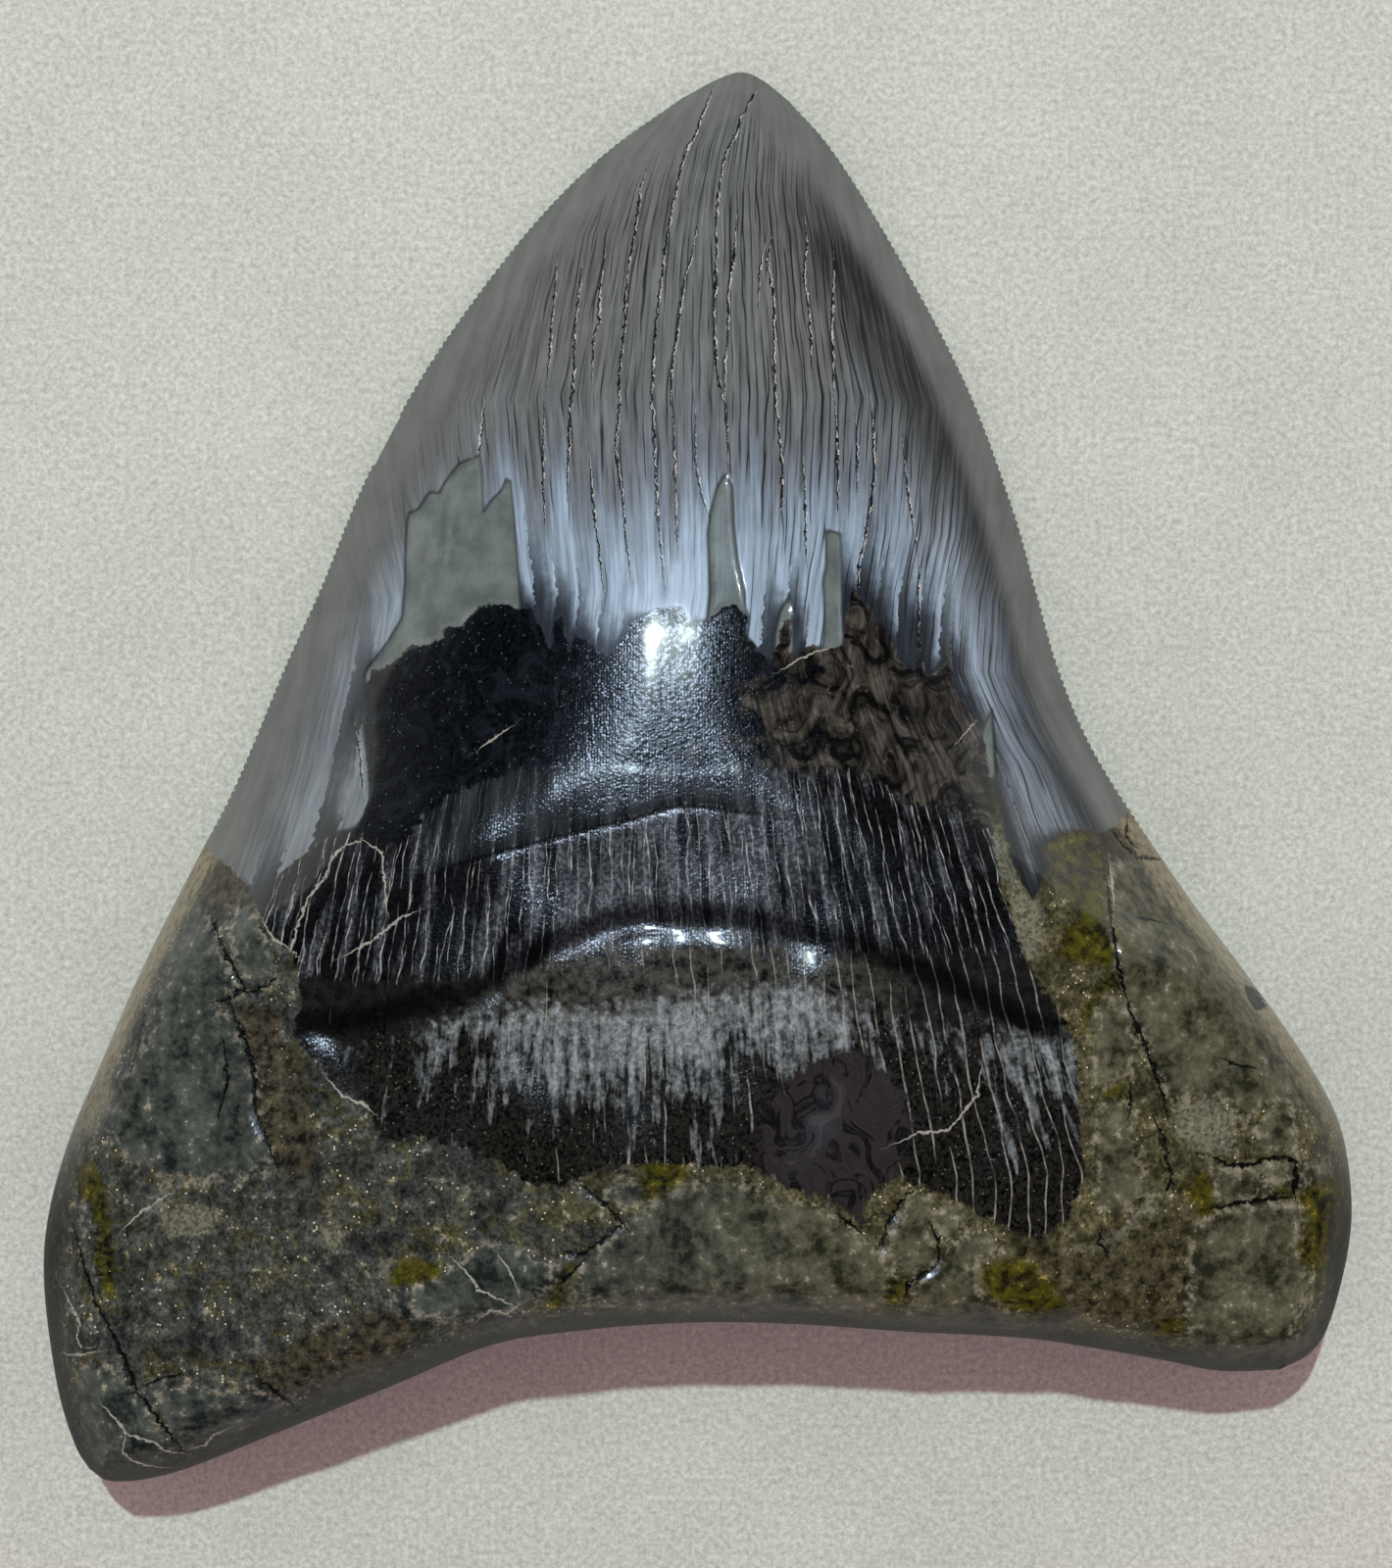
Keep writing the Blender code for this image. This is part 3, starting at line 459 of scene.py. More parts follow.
# Open cracks of the root.
DARK_CRACKS = [
    [(50.2, -19.9), (51.8, -20.6), (53.1, -21.4)],
    [(50.5, -20.6), (51.6, -21.3), (52.6, -21.9)],
    [(50.3, -20.2), (51.6, -20.9), (52.9, -21.6)],
    [(37.2, -10.1), (37, -13.3), (37.2, -16.2), (37.6, -18.3), (38.3, -20.6)],
    [(38.3, -20.6), (38.7, -21.9), (39.8, -24.2), (40.7, -26.6), (41.4, -28.9), (42.1, -31.3)],
    [(40.7, -31), (41.7, -33.4), (42.2, -36), (42.5, -37.9)],
    [(38.5, -27.9), (38.6, -29.6), (38.3, -31.2)],
    [(38.5, -5.6), (39.7, -7.3), (40.9, -8.2), (44, -8.5)],
    [(40.4, -4.6), (40, -6.4), (41.1, -7.4)],
    [(39.6, -13.5), (40.7, -13.6), (42, -13.9)],
    [(47.1, -26), (48.3, -26.6), (50.1, -26.9)],
    [(-44.1, -13.7), (-42.8, -15.6), (-41.8, -17.1), (-41.1, -18.3), (-40.4, -19.6)],
    [(-43.3, -21), (-41.7, -20.5), (-40.7, -19.7), (-39.4, -19.9), (-38.4, -19.4), (-37.4, -18.4)],
    [(-41.7, -21.1), (-41.1, -22.7), (-40.3, -24.7), (-39.5, -27.5), (-39.5, -30.7), (-38.6, -32.7),
     (-37.4, -35.5)],
    [(-56.8, -41.8), (-55.8, -44.7), (-55.1, -46.6), (-54.4, -48.5), (-53.3, -50.1), (-52.4, -52),
     (-51.5, -53.9), (-50.7, -56.1), (-49.2, -58), (-47.9, -59.7), (-46.9, -61.5)],
    [(-39.1, -54.5), (-37.9, -55.6), (-36.8, -56.7), (-36.2, -57.7)],
    [(-49.8, -55.7), (-48.7, -55.1), (-46.4, -54.4)],
    [(-11.6, -42.6), (-10.4, -42.9), (-9, -42), (-7.8, -41), (-6.6, -40.1), (-7.9, -38.5)],
    [(-12.2, -45.6), (-10.9, -44.2), (-9.9, -43.2)],
    [(16.2, -42.3), (16.6, -40.4), (18.4, -37.7), (19.2, -37.2)],
    [(20.5, -40.2), (21.2, -41.4), (21.4, -43.1), (20.7, -44.3), (18.7, -45.3), (18.3, -46.9)],
    [(12.3, -39.3), (13.6, -40.2), (14.5, -41)],
    [(46, -34.8), (47.6, -35.5), (49.8, -35.7), (51.2, -35.1), (53.1, -35.1), (54.1, -35.6),
     (53.9, -38.1), (54.1, -38.9)],
    [(46, -39.5), (48.5, -39.1), (51.5, -38.8), (54, -38.8)],
    [(36, -40.9), (35.8, -42), (36.6, -43.5)],
    [(-10.5, -36.5), (-8.2, -38.2), (-6.1, -40.6)],
    [(-42.4, -24.1), (-42, -27.7), (-42.9, -31.2)],
    [(41.2, -32.9), (42, -35), (42.4, -36.8), (41.7, -38)],
]
# Cracks that pale mineral has filled.
PALE_VEINS = [
    [(7.5, 8.8), (9.1, 9.8), (10.6, 10.4), (12.1, 10.9)],
    [(-19.4, 1.8), (-18.1, 2.7), (-16.7, 3.7)],
    [(-36.8, -15.6), (-36.2, -16.1), (-35.5, -13.9), (-34.7, -11.5), (-33.2, -9.7), (-32.7, -8),
     (-31.6, -6.8), (-29.9, -6.4)],
    [(-29.9, -6.4), (-28, -7.5), (-27.7, -10.2), (-27.5, -12.8)],
    [(-38.8, -13.7), (-37.6, -15.2), (-36.5, -15.8)],
    [(-57.7, -47.8), (-56.7, -49.2), (-56, -50.3), (-56.4, -51.5), (-55.9, -52.5), (-54.8, -52.4)],
    [(-57.7, -53.5), (-56, -53.2), (-54.5, -52.7)],
    [(-53.8, -57.6), (-52.8, -58.5), (-51.8, -59.6), (-51.6, -60.1), (-50.1, -60.5), (-48.9, -61),
     (-48.2, -61.8), (-47.1, -62.1)],
    [(-51.6, -60.1), (-52.1, -62), (-51.3, -62.8), (-50.1, -63.4), (-48.7, -63.9)],
    [(-46, -61.7), (-44.7, -61.4), (-43.7, -60.2), (-42.4, -59.5)],
    [(-21.5, -43.5), (-20.2, -44.7), (-19.4, -46), (-17.6, -46.8), (-15.9, -47.6)],
    [(-17.5, -43), (-16.6, -44.1), (-16, -45.7)],
    [(-19.2, -48.8), (-18.3, -47.9), (-16.9, -48.3), (-15.8, -47.4)],
    [(-32.7, -27.6), (-31.4, -29), (-29.6, -29.7), (-28.7, -30.4)],
    [(23.7, 2.5), (25.3, 4.2), (28.2, 6), (29.9, 7.2)],
    [(-31.4, -16.7), (-28.8, -15.2), (-26.2, -13.2), (-24.9, -12.6)],
    [(17.3, -33.1), (19.5, -32.1), (22.1, -31.9), (24.7, -28.9), (25.1, -26.3)],
    [(-51.7, -41.4), (-50.3, -40.1), (-49, -39.2), (-47.2, -38)],
    [(37.7, -8.7), (37.7, -10.3), (37.5, -12.1)],
]
# Long cracks of the enamel.
ENAMEL_CRACKS = [
    [(1.5, 65.1), (1, 63.4), (0.3, 61.7), (-0.2, 60.1), (-1, 58.5), (-1.6, 56.5), (-1.9, 54.9),
     (-2.3, 52.6), (-2.7, 50.4), (-3.1, 47.9), (-3.3, 45.4), (-3.7, 42.3), (-4, 39.3), (-4.1, 36.2),
     (-4.2, 32.7), (-4.1, 33.1), (-4, 31), (-3.8, 26), (-3.5, 21.7), (-3.2, 18.6), (-2.9, 15.7)],
    [(5.9, 65), (5.1, 63.7), (4.6, 62.5), (4, 61.5), (3.8, 60.2), (2.8, 58.2), (2.4, 56.9), (2.1, 55),
     (1.9, 53.1), (1.7, 50.9), (1.7, 48.3), (1.7, 45.9), (1.5, 42.2), (1.6, 39.2), (1.7, 36.2),
     (2.4, 33.3), (2.7, 30.4), (2.7, 27.2)],
    [(-4.8, 56.8), (-5.4, 54.5), (-5.8, 50.6), (-6.2, 48.1), (-6.6, 45.6), (-6.7, 43.1), (-6.7, 40.3),
     (-7, 38.5), (-7.2, 35.7), (-7.1, 32.8), (-7.1, 33.2), (-7.5, 29), (-7.1, 26.7), (-6.6, 22.6),
     (-6.3, 19.7), (-6, 16.9)],
    [(-10.8, 47.5), (-11, 45), (-11.3, 41.8), (-11.4, 39), (-11.4, 36.6), (-11.6, 32.9), (-11.7, 33.4),
     (-11.7, 30.4), (-11.8, 27.4), (-11.8, 24.2)],
    [(-13.2, 48.8), (-13.4, 44.9), (-13.6, 41.1), (-13.7, 39.2), (-13.9, 34.9)],
    [(-8.6, 48.6), (-9.1, 44.5), (-9.1, 41.3), (-9.6, 39.8), (-9.7, 35.3)],
    [(0, 50.6), (-0.7, 46.8), (-1.2, 45.3), (-1.8, 40.4), (-2.4, 36.2), (-2.5, 32.6)],
    [(3.7, 52.1), (3.3, 47.1), (2.8, 43.4), (2.8, 39.8), (2.5, 37.4), (2.4, 32.6)],
    [(7, 49.8), (6.4, 47.3), (7, 43.6), (7, 39.3), (7, 36.3), (7.1, 32.8), (7.3, 31.7), (7.5, 29),
     (7.6, 26.4), (7.7, 24.1), (7.3, 23.1)],
    [(10, 52), (10.2, 48.8), (9.8, 45.7), (10.3, 42.6), (10.4, 39.5), (10.5, 36.5)],
    [(12.8, 48.5), (12.6, 44.1), (12.4, 40.9), (12.5, 38.2), (12.5, 33.6)],
    [(6.4, 49.8), (5.7, 46), (5.5, 42.3)],
    [(-2.3, 32.5), (-2.1, 28.3), (-2, 24.6), (-1.9, 21.7), (-1.8, 19.1)],
    [(-9.8, 28.5), (-9.5, 24.7), (-9.2, 22.1), (-8.8, 19.2), (-8.4, 15.8)],
    [(-14.1, 33.8), (-14.1, 28.7), (-14, 25.7), (-13.8, 21.3)],
    [(12.6, 33.8), (12.7, 29.9), (12.7, 25.7), (12.7, 23.4)],
    [(16, 34.9), (16.2, 30.4), (16.2, 27.1), (15.6, 23), (15.1, 20.6), (14.5, 18.3), (14.6, 16)],
    [(14.5, 33), (14.6, 28.8), (14.5, 24.4)],
    [(19, 30.6), (19.3, 26.2), (19.8, 22.6), (20.2, 19.7)],
    [(9.5, 28.5), (9.7, 24.7), (9.7, 21.8), (9.8, 18.1)],
    [(-0.2, 32.4), (-0.2, 27.2), (0.4, 24.6), (1, 22.6)],
    [(-22.7, 27.2), (-23.1, 24.5), (-23.3, 19.1)],
    [(-22.1, 28.4), (-21.1, 28.5), (-20.2, 29), (-20, 31.5), (-19.8, 35.2)],
    [(-31.7, 4.7), (-31, 2), (-30.5, -0.7), (-30.2, -2.8)],
    [(23.2, 11.7), (23.3, 7.9)],
    [(20.3, 19.7), (20.3, 17.4), (20.1, 14.4), (20.1, 11.6), (20.6, 9)],
]
# The root's patches, the lines across the neck, and the cracks with half their width, by border name.
ROOT_PATCHES = {"amber": AMBER, "brown": BROWN, "plate": PLATES, "pale": PALE}
CROSS_LINES = {
    "band_top": BAND_TOP, "lens_crack": LENS_CRACK, "fold": FOLD, "fold_lip": FOLD_LIP,
    "silver_top": SILVER_TOP, "blotch_top": BLOTCH_TOP,
}
CRACKS = {
    "root_crack": (DARK_CRACKS, 0.14), "pale_vein": (PALE_VEINS, 0.08), "enamel_crack": (ENAMEL_CRACKS, 0.08),
}
CRACK_END = 0.3  # a crack tapers to this part of its width at both ends
CRACK_REACH = 1.5  # a crack is felt this far out


def ease(low, high, value):
    """0 below low, 1 above high, and a smooth turn between."""
    part = np.clip((value - low) / (high - low), 0.0, 1.0)
    return part * part * (3.0 - 2.0 * part)


def smooth_curve(points, steps=14):
    """A Catmull-Rom curve through the points, as a fine polyline."""
    points = np.array(points, float)
    ends = np.vstack([2 * points[0] - points[1], points, 2 * points[-1] - points[-2]])
    share = np.linspace(0.0, 1.0, steps, endpoint=False)[:, None]
    pieces = []
    for before, start, end, after in zip(ends, ends[1:], ends[2:], ends[3:]):
        bend = 2 * before - 5 * start + 4 * end - after
        twist = -before + 3 * start - 3 * end + after
        pieces.append(0.5 * (2 * start + (end - before) * share + bend * share**2 + twist * share**3))
    return np.vstack(pieces + [points[-1:]])


def lengths_along(curve):
    """How far along a polyline each of its points lies, seen from above."""
    steps = np.linalg.norm(np.diff(curve[:, :2], axis=0), axis=1)
    return np.concatenate([[0.0], np.cumsum(steps)])


def along(curve, fractions):
    """Points of a polyline at these fractions of its length."""
    run = lengths_along(curve)
    return np.stack([np.interp(np.asarray(fractions) * run[-1], run, axis) for axis in curve.T], axis=-1)


def outlines():
    """The left side, the right side, the root's base and the tip's end, as fine polylines."""
    return [smooth_curve(side) for side in (LEFT_SIDE, RIGHT_SIDE, ROOT_BASE, TIP_END)]


def crowded(cells, both_ends):
    """Fractions from 0 to 1 that crowd over the rounded flank at the start, and at the end if asked."""
    flank = FLANK_SHARE * (1 - np.cos(np.linspace(0.0, math.pi / 2, FLANK_CELLS + 1)))
    if not both_ends:
        return np.concatenate([flank, np.linspace(FLANK_SHARE, 1.0, cells - FLANK_CELLS + 1)[1:]])
    middle = np.linspace(FLANK_SHARE, 1 - FLANK_SHARE, cells - 2 * FLANK_CELLS + 1)[1:-1]
    return np.concatenate([flank, middle, 1 - flank[::-1]])


def lay_sheet(left, right, base, tip):
    """Every sheet point (row, column) inside the four outline curves: x, y and rim height."""
    rows = crowded(ROW_CELLS, both_ends=False)
    turn = ease(*COLUMNS_TURN, rows)[:, None]
    root_columns = crowded(COLUMN_CELLS, both_ends=True)
    crown_columns = np.linspace(0.0, 1.0, COLUMN_CELLS + 1)
    across = root_columns[None] * (1 - turn) + crown_columns[None] * turn
    up = np.broadcast_to(rows[:, None], across.shape)
    u, v = across[..., None], up[..., None]
    corners = (1 - u) * (1 - v) * base[0] + u * (1 - v) * base[-1]
    corners = corners + (1 - u) * v * tip[0] + u * v * tip[-1]
    sides = (1 - u) * along(left, rows)[:, None] + u * along(right, rows)[:, None]
    ends = (1 - v) * along(base, across) + v * along(tip, across)
    return sides + ends - corners


def segment_distance(points, start, end):
    """Distance of each point from a straight segment, and how far along it the nearest spot is."""
    run = end - start
    share = np.clip((points - start) @ run / max(run @ run, TINY), 0.0, 1.0)
    return np.linalg.norm(points - start - share[:, None] * run, axis=1), share


def near_box(points, corners, reach):
    """Which points lie within reach of the box around these corners."""
    low, high = np.min(corners, axis=0) - reach, np.max(corners, axis=0) + reach
    return np.all((points > low) & (points < high), axis=1)


def rim_distance(points, outline):
    """Distance from the outline, and how far round the outline the nearest spot of it is."""
    best = np.full(len(points), np.inf)
    place = np.zeros(len(points))
    run = lengths_along(outline)
    for number, (start, end) in enumerate(zip(outline[:-1, :2], outline[1:, :2])):
        distance, share = segment_distance(points, start, end)
        closer = distance < best
        best[closer] = distance[closer]
        place[closer] = run[number] + share[closer] * (run[number + 1] - run[number])
    return best, place


def depth_inside(points, patches, reach=PATCH_REACH):
    """How deep each point lies inside the nearest of some closed patches: negative outside them."""
    depth = np.full(len(points), -reach)
    for patch in patches:
        corners = np.array(patch, float)
        near = near_box(points, corners, reach)
        spots = points[near]
        distance = np.full(len(spots), reach)
        inside = np.zeros(len(spots), bool)
        for start, end in zip(corners, np.roll(corners, -1, axis=0)):
            distance = np.minimum(distance, segment_distance(spots, start, end)[0])
            crosses = (start[1] > spots[:, 1]) != (end[1] > spots[:, 1])
            rise = end[1] - start[1] if end[1] != start[1] else TINY
            crossing = start[0] + (spots[:, 1] - start[1]) * (end[0] - start[0]) / rise
            inside ^= crosses & (spots[:, 0] < crossing)
        depth[near] = np.maximum(depth[near], np.where(inside, distance, -distance))
    return depth


def line_distance(points, lines, reach=2.0):
    """Distance from the nearest of some open lines, up to reach."""
    best = np.full(len(points), reach)
    for line in lines:
        corners = np.array(line, float)
        for start, end in zip(corners, corners[1:]):
            near = near_box(points, (start, end), reach)
            best[near] = np.minimum(best[near], segment_distance(points[near], start, end)[0])
    return best


def height_above(points, line):
    """How far up each point lies from a line that runs from left to right."""
    line = np.array(line, float)
    return points[:, 1] - np.interp(points[:, 0], line[:, 0], line[:, 1])


def dents(points, places):
    """Depth of round dents, given as x, y, depth and radius."""
    depth = np.zeros(len(points))
    for x, y, deep, radius in places:
        depth += deep * np.exp(-((np.hypot(points[:, 0] - x, points[:, 1] - y) / radius) ** 2))
    return depth


def ridge(distance, width):
    """A rounded ridge along the line where a distance is 0: 1 on it, and almost nothing two widths off."""
    return np.exp(-((distance / width) ** 2))


def lumps(points, size, seed):
    """Smooth random heights between -1 and 1, in lumps of about this size."""
    heights = np.random.default_rng(seed).uniform(-1.0, 1.0, (LUMP_TABLE, LUMP_TABLE))
    place = points / size + LUMP_START
    cell = np.floor(place).astype(int)
    share = place - cell
    share = share * share * (3 - 2 * share)
    left, low = cell[:, 0] % LUMP_TABLE, cell[:, 1] % LUMP_TABLE
    right, high = (left + 1) % LUMP_TABLE, (low + 1) % LUMP_TABLE
    lower = heights[left, low] * (1 - share[:, 0]) + heights[right, low] * share[:, 0]
    upper = heights[left, high] * (1 - share[:, 0]) + heights[right, high] * share[:, 0]
    return lower * (1 - share[:, 1]) + upper * share[:, 1]


def layered(points, layers):
    """Lumps laid over each other, given as height, size and seed."""
    return sum(height * lumps(points, size, seed) for height, size, seed in layers)


def strand_count(points):
    """Which growth strand each point lies on, counted from the strand that runs straight up."""
    y, *columns = np.array(STRAND_GUIDE[::-1]).T
    middle, closeness, start = [np.interp(points[:, 1], y, column) for column in columns]
    return (points[:, 0] - middle) * closeness + start


def surface_borders(points, below, rim):
    """Distances from the borders of the tooth's parts, at each point of the mesh.

    The underside has its own edge of the enamel, and the same kinds of stone in mirrored places."""
    spots = np.where(below[:, None], points * [-1.0, 1.0] + LOWER_SHIFT, points)
    enamel = depth_inside(points, [ENAMEL_EDGE + PAST_CROWN], ENAMEL_REACH)
    enamel[below] = depth_inside(points[below], [LOWER_ENAMEL_EDGE + LOWER_PAST_CROWN], ENAMEL_REACH)
    borders = {
        "rim": rim,
        "enamel": enamel,
        "neck": depth_inside(points, [NECK_EDGE + NECK_UNDER_ENAMEL], NECK_REACH),
        "flake": depth_inside(points, FLAKES),
        "swirl": depth_inside(points, [SWIRL]),
        "pit": np.minimum(depth_inside(points, [FLANK_NOTCH]), rim - NOTCH_RIM),
        "strand": strand_count(points),
        "across": points[:, 0],
        "along": points[:, 1],
    }
    borders.update((name, depth_inside(spots, patches)) for name, patches in ROOT_PATCHES.items())
    borders.update((name, height_above(points, line)) for name, line in CROSS_LINES.items())
    smooth = np.maximum(ease(-0.2, 0.3, borders["plate"]), ease(-0.1, 0.2, enamel))
    smooth = np.maximum(smooth, ease(-0.2, 0.3, borders["swirl"]))
    borders["grainy"] = 1.0 - np.maximum(smooth, 0.7 * ease(0.0, 0.5, borders["amber"]))
    for name in ("neck", "flake", "swirl", "pit"):
        borders[name][below] = -PATCH_REACH
    return borders


def bowl(distance, rounding, power):
    """0 at the rim and 1 from the rounding inwards."""
    part = 1.0 - np.clip(distance / rounding, 0.0, 1.0)
    return np.maximum(1.0 - part * part, 0.0) ** power


def block_and_lens(y):
    """The tooth's shape at each y: a block with rounded flanks in the root, and a lens in the crown."""
    left, right = outlines()[:2]
    back = smooth_curve(BACK_LINE)
    crown = ease(CROWN_STARTS, CROWN_FULL, y)
    width = np.interp(y, right[:, 1], right[:, 0]) - np.interp(y, left[:, 1], left[:, 0])
    lens = np.maximum(LENS_SHARE * width, LEAST_LENS)
    return {
        "crown": crown,
        "lens": lens,
        "back": np.interp(y, back[:, 0], back[:, 1]),
        "rounding": ROOT_ROUNDING + (lens - ROOT_ROUNDING) * crown,
        "belly_rounding": BELLY_ROUNDING + (BELLY_CROWN_PART * lens - BELLY_ROUNDING) * crown,
        "power": 0.5 + 0.5 * crown,
    }


def crown_relief(points, borders, sizes):
    """Ledges where enamel has flaked off, grooves of its long cracks, and its faint growth strands."""
    relief = -sizes.flake_depth / MILLIMETRE * ease(-0.1, 0.3, borders["flake"])
    groove = ridge(line_distance(points, ENAMEL_CRACKS), GROOVE_WIDTH)
    relief -= sizes.crack_depth / MILLIMETRE * groove
    strands = np.stack([borders["strand"], points[:, 1] / CROWN_RIB_LENGTH], axis=1)
    relief += layered(strands, CROWN_RIBS)
    return relief * ease(0.0, 0.4, borders["enamel"])


def neck_relief(points, borders):
    """The crumbled top of the neck, the fold with its bright lip, and the ribs that run down it."""
    fold_side = np.clip(borders["neck"], 0.0, 2.0) / 2.0
    fold = -FOLD_DEPTH * ridge(borders["fold"] + FOLD_DROP, FOLD_WIDTH)
    fold += FOLD_LIP_HEIGHT * ridge(borders["fold_lip"], 0.7 * FOLD_WIDTH)
    crack = -LENS_CRACK_DEPTH * ridge(borders["lens_crack"], LENS_CRACK_WIDTH)
    crack *= ease(11.0, 9.0, np.abs(points[:, 0] + 8.0))
    lens = LENS_HEIGHT * ease(0.0, 1.0, borders["lens_crack"]) * ease(0.0, 1.0, -borders["band_top"])
    crumbled = layered(points, CRUMBLED_LUMPS) * ease(0.0, 0.8, borders["band_top"])
    strands = np.stack([borders["strand"], points[:, 1] / NECK_RIB_LENGTH], axis=1)
    ribs = layered(strands, NECK_RIBS) * ease(1.0, -1.0, borders["band_top"])
    swirl = layered(points, SWIRL_LUMPS) * ease(-0.5, 0.5, borders["swirl"])
    inside = ease(-0.2, 0.5, borders["neck"]) * ease(0.3, -0.1, borders["enamel"])
    return fold * fold_side + (crack + lens + crumbled + ribs + swirl) * inside


def root_relief(points, borders):
    """Raised smooth plates, rough grain between them, and open cracks."""
    plate = ease(-0.2, 0.4, borders["plate"])
    amber = ease(-0.2, 0.4, borders["amber"])
    grain = layered(points, ROOT_LUMPS) * (1 - 0.85 * np.maximum(plate, amber))
    relief = grain + PLATE_HEIGHT * plate - AMBER_DEPTH * amber
    relief -= ROOT_CRACK_DEPTH * ridge(line_distance(points, DARK_CRACKS), ROOT_CRACK_WIDTH)
    return relief * ease(0.1, -0.2, borders["enamel"]) * ease(0.1, -0.3, borders["neck"])


def upper_relief(points, borders, sizes):
    """All relief of the upper face: broad swellings of the root and neck, and the fine forms over them."""
    x, y = points.T * (2 * math.pi / SWELL_LENGTH)
    swell = np.sin(x + 0.6) * np.sin(y + 1.1 * np.sin(x))
    relief = SWELL_HEIGHT * swell * (1 - ease(CROWN_STARTS, CROWN_FULL, points[:, 1]))
    fine = crown_relief(points, borders, sizes) + neck_relief(points, borders) + root_relief(points, borders)
    relief += NECK_SWELL_HEIGHT * ridge(points[:, 1] - NECK_SWELL_Y, NECK_SWELL_WIDTH)
    return relief * ease(0.0, 3.0, borders["rim"]) + fine * ease(0.0, 1.2, borders["rim"])


def lower_relief(points, borders):
    """The underside's ledge along the enamel, and the hollow and rough grain of its root."""
    behind = -borders["enamel"]
    step = ease(0.0, 1.4, behind) * (1 - ease(1.4, LOWER_STEP_REACH, behind))
    relief = LOWER_STEP * step + dents(points, ROOT_HOLLOWS) * ease(0.0, LOWER_STEP_REACH, behind)
    grain = LOWER_GRAIN_HEIGHT * (1.0 + lumps(points, 2.6, 21)) * ease(0.0, 1.0, behind)
    return relief * ease(0.0, 3.0, borders["rim"]) + grain * ease(0.5, 3.0, borders["rim"])


def face_heights(points, rim_heights, below, borders, sizes):
    """The height of every point: on the domed upper face, or on the flat lower one."""
    distance, shape = borders["rim"], block_and_lens(points[:, 1])
    crown, power = shape["crown"], shape["power"]
    top = shape["back"] - LOBE_FALL * points[:, 0] ** 2 * (1 - crown)
    dome = bowl(distance, shape["rounding"], power)
    dome *= 1.0 - BLADE_THINNING * crown * np.exp(-distance / (BLADE_WIDTH * shape["lens"]))
    upper = rim_heights + (top - rim_heights) * dome + upper_relief(points, borders, sizes)
    upper -= ease(0.0, 3.0, distance) ** 0.25 * dents(points, ROOT_PITS)
    belly = bowl(distance, shape["belly_rounding"], power)
    lower = rim_heights * (1.0 - belly)
    lower[belly > BELLY_FLAT] = 0.0
    lower += lower_relief(points, borders)
    return np.where(below, lower, upper)


def flank_stretch(distance, rounding, rise, power):
    """How much longer the way over the rounded flank is than its width seen from above, from here inwards."""
    start = np.clip(distance / rounding, 0.0, 1.0)
    steps = start + (1.0 - start) * np.linspace(0.0, 1.0, STRETCH_STEPS)[:, None] ** 2
    heights = rise * bowl(steps * rounding, rounding, power)
    lengths = np.hypot(np.diff(steps, axis=0) * rounding, np.diff(heights, axis=0))
    return lengths.sum(axis=0) - (1.0 - start) * rounding


def skin_places(points, rim_heights, below, distance, edge_run, outline):
    """Each point's place on the tooth's skin laid flat.

    The flanks are folded outwards, so that a pattern isn't drawn out on them."""
    shape = block_and_lens(points[:, 1])
    rise, power = shape["back"] - rim_heights, shape["power"]
    stretch = flank_stretch(distance, shape["rounding"], rise, power)
    stretch_below = flank_stretch(distance, shape["belly_rounding"], rim_heights, power)
    run = lengths_along(outline)
    tangent = np.gradient(outline[:, :2], run, axis=0)
    sideways = (tangent[:, 1], -tangent[:, 0])
    outwards = np.stack([np.interp(edge_run, run, axis) for axis in sideways], axis=1)
    outwards /= np.linalg.norm(outwards, axis=1)[:, None]
    return points + outwards * np.where(below, stretch_below, stretch)[:, None]


def serrated(points, run, outwards, sizes):
    """Moves points of the cutting edge out and in: round teeth with sharp valleys between them."""
    fade = np.clip(np.hypot(points[:, 0] - TIP_POINT[0], points[:, 1] - TIP_POINT[1]) / PLAIN_TIP, 0.0, 1.0)
    fade *= ease(SHOULDER_Y - 1.0, SHOULDER_Y + 3.0, points[:, 1])
    wave = np.abs(np.sin(math.pi * run * MILLIMETRE / sizes.serration_pitch)) - SERRATION_MIDDLE
    push = sizes.serration_depth / MILLIMETRE * wave * fade - dents(points[:, :2], EDGE_NICKS)
    return points + push[:, None] * outwards


def side_chain(sheet, column, turned, sizes):
    """The rim points up one side, with EDGE_STEPS of them for each cell, serrated above the shoulder."""
    side = sheet[:, column]
    steps = np.arange(ROW_CELLS * EDGE_STEPS + 1) / EDGE_STEPS
    chain = np.stack([np.interp(steps, np.arange(ROW_CELLS + 1), axis) for axis in side.T], axis=-1)
    run = np.gradient(chain[:, :2], axis=0)
    run /= np.linalg.norm(run, axis=1)[:, None]
    outwards = np.stack([-run[:, 1], run[:, 0], np.zeros(len(run))], axis=1) * turned
    return serrated(chain, lengths_along(chain), outwards, sizes)


def fan(faces, chain, inner, turn):
    """Triangles from a stretch of rim to the one or two sheet points inside it."""
    for step in range(len(chain) - 1):
        faces.append((inner[0] if step < turn else inner[-1], chain[step], chain[step + 1]))
    if len(inner) == 2:
        faces.append((inner[0], chain[turn], inner[1]))


def cell_faces(grid):
    """One face for each cell of a grid of point numbers."""
    cells = np.stack([grid[:-1, :-1], grid[:-1, 1:], grid[1:, 1:], grid[1:, :-1]], axis=-1)
    return cells.reshape(-1, 4).tolist()


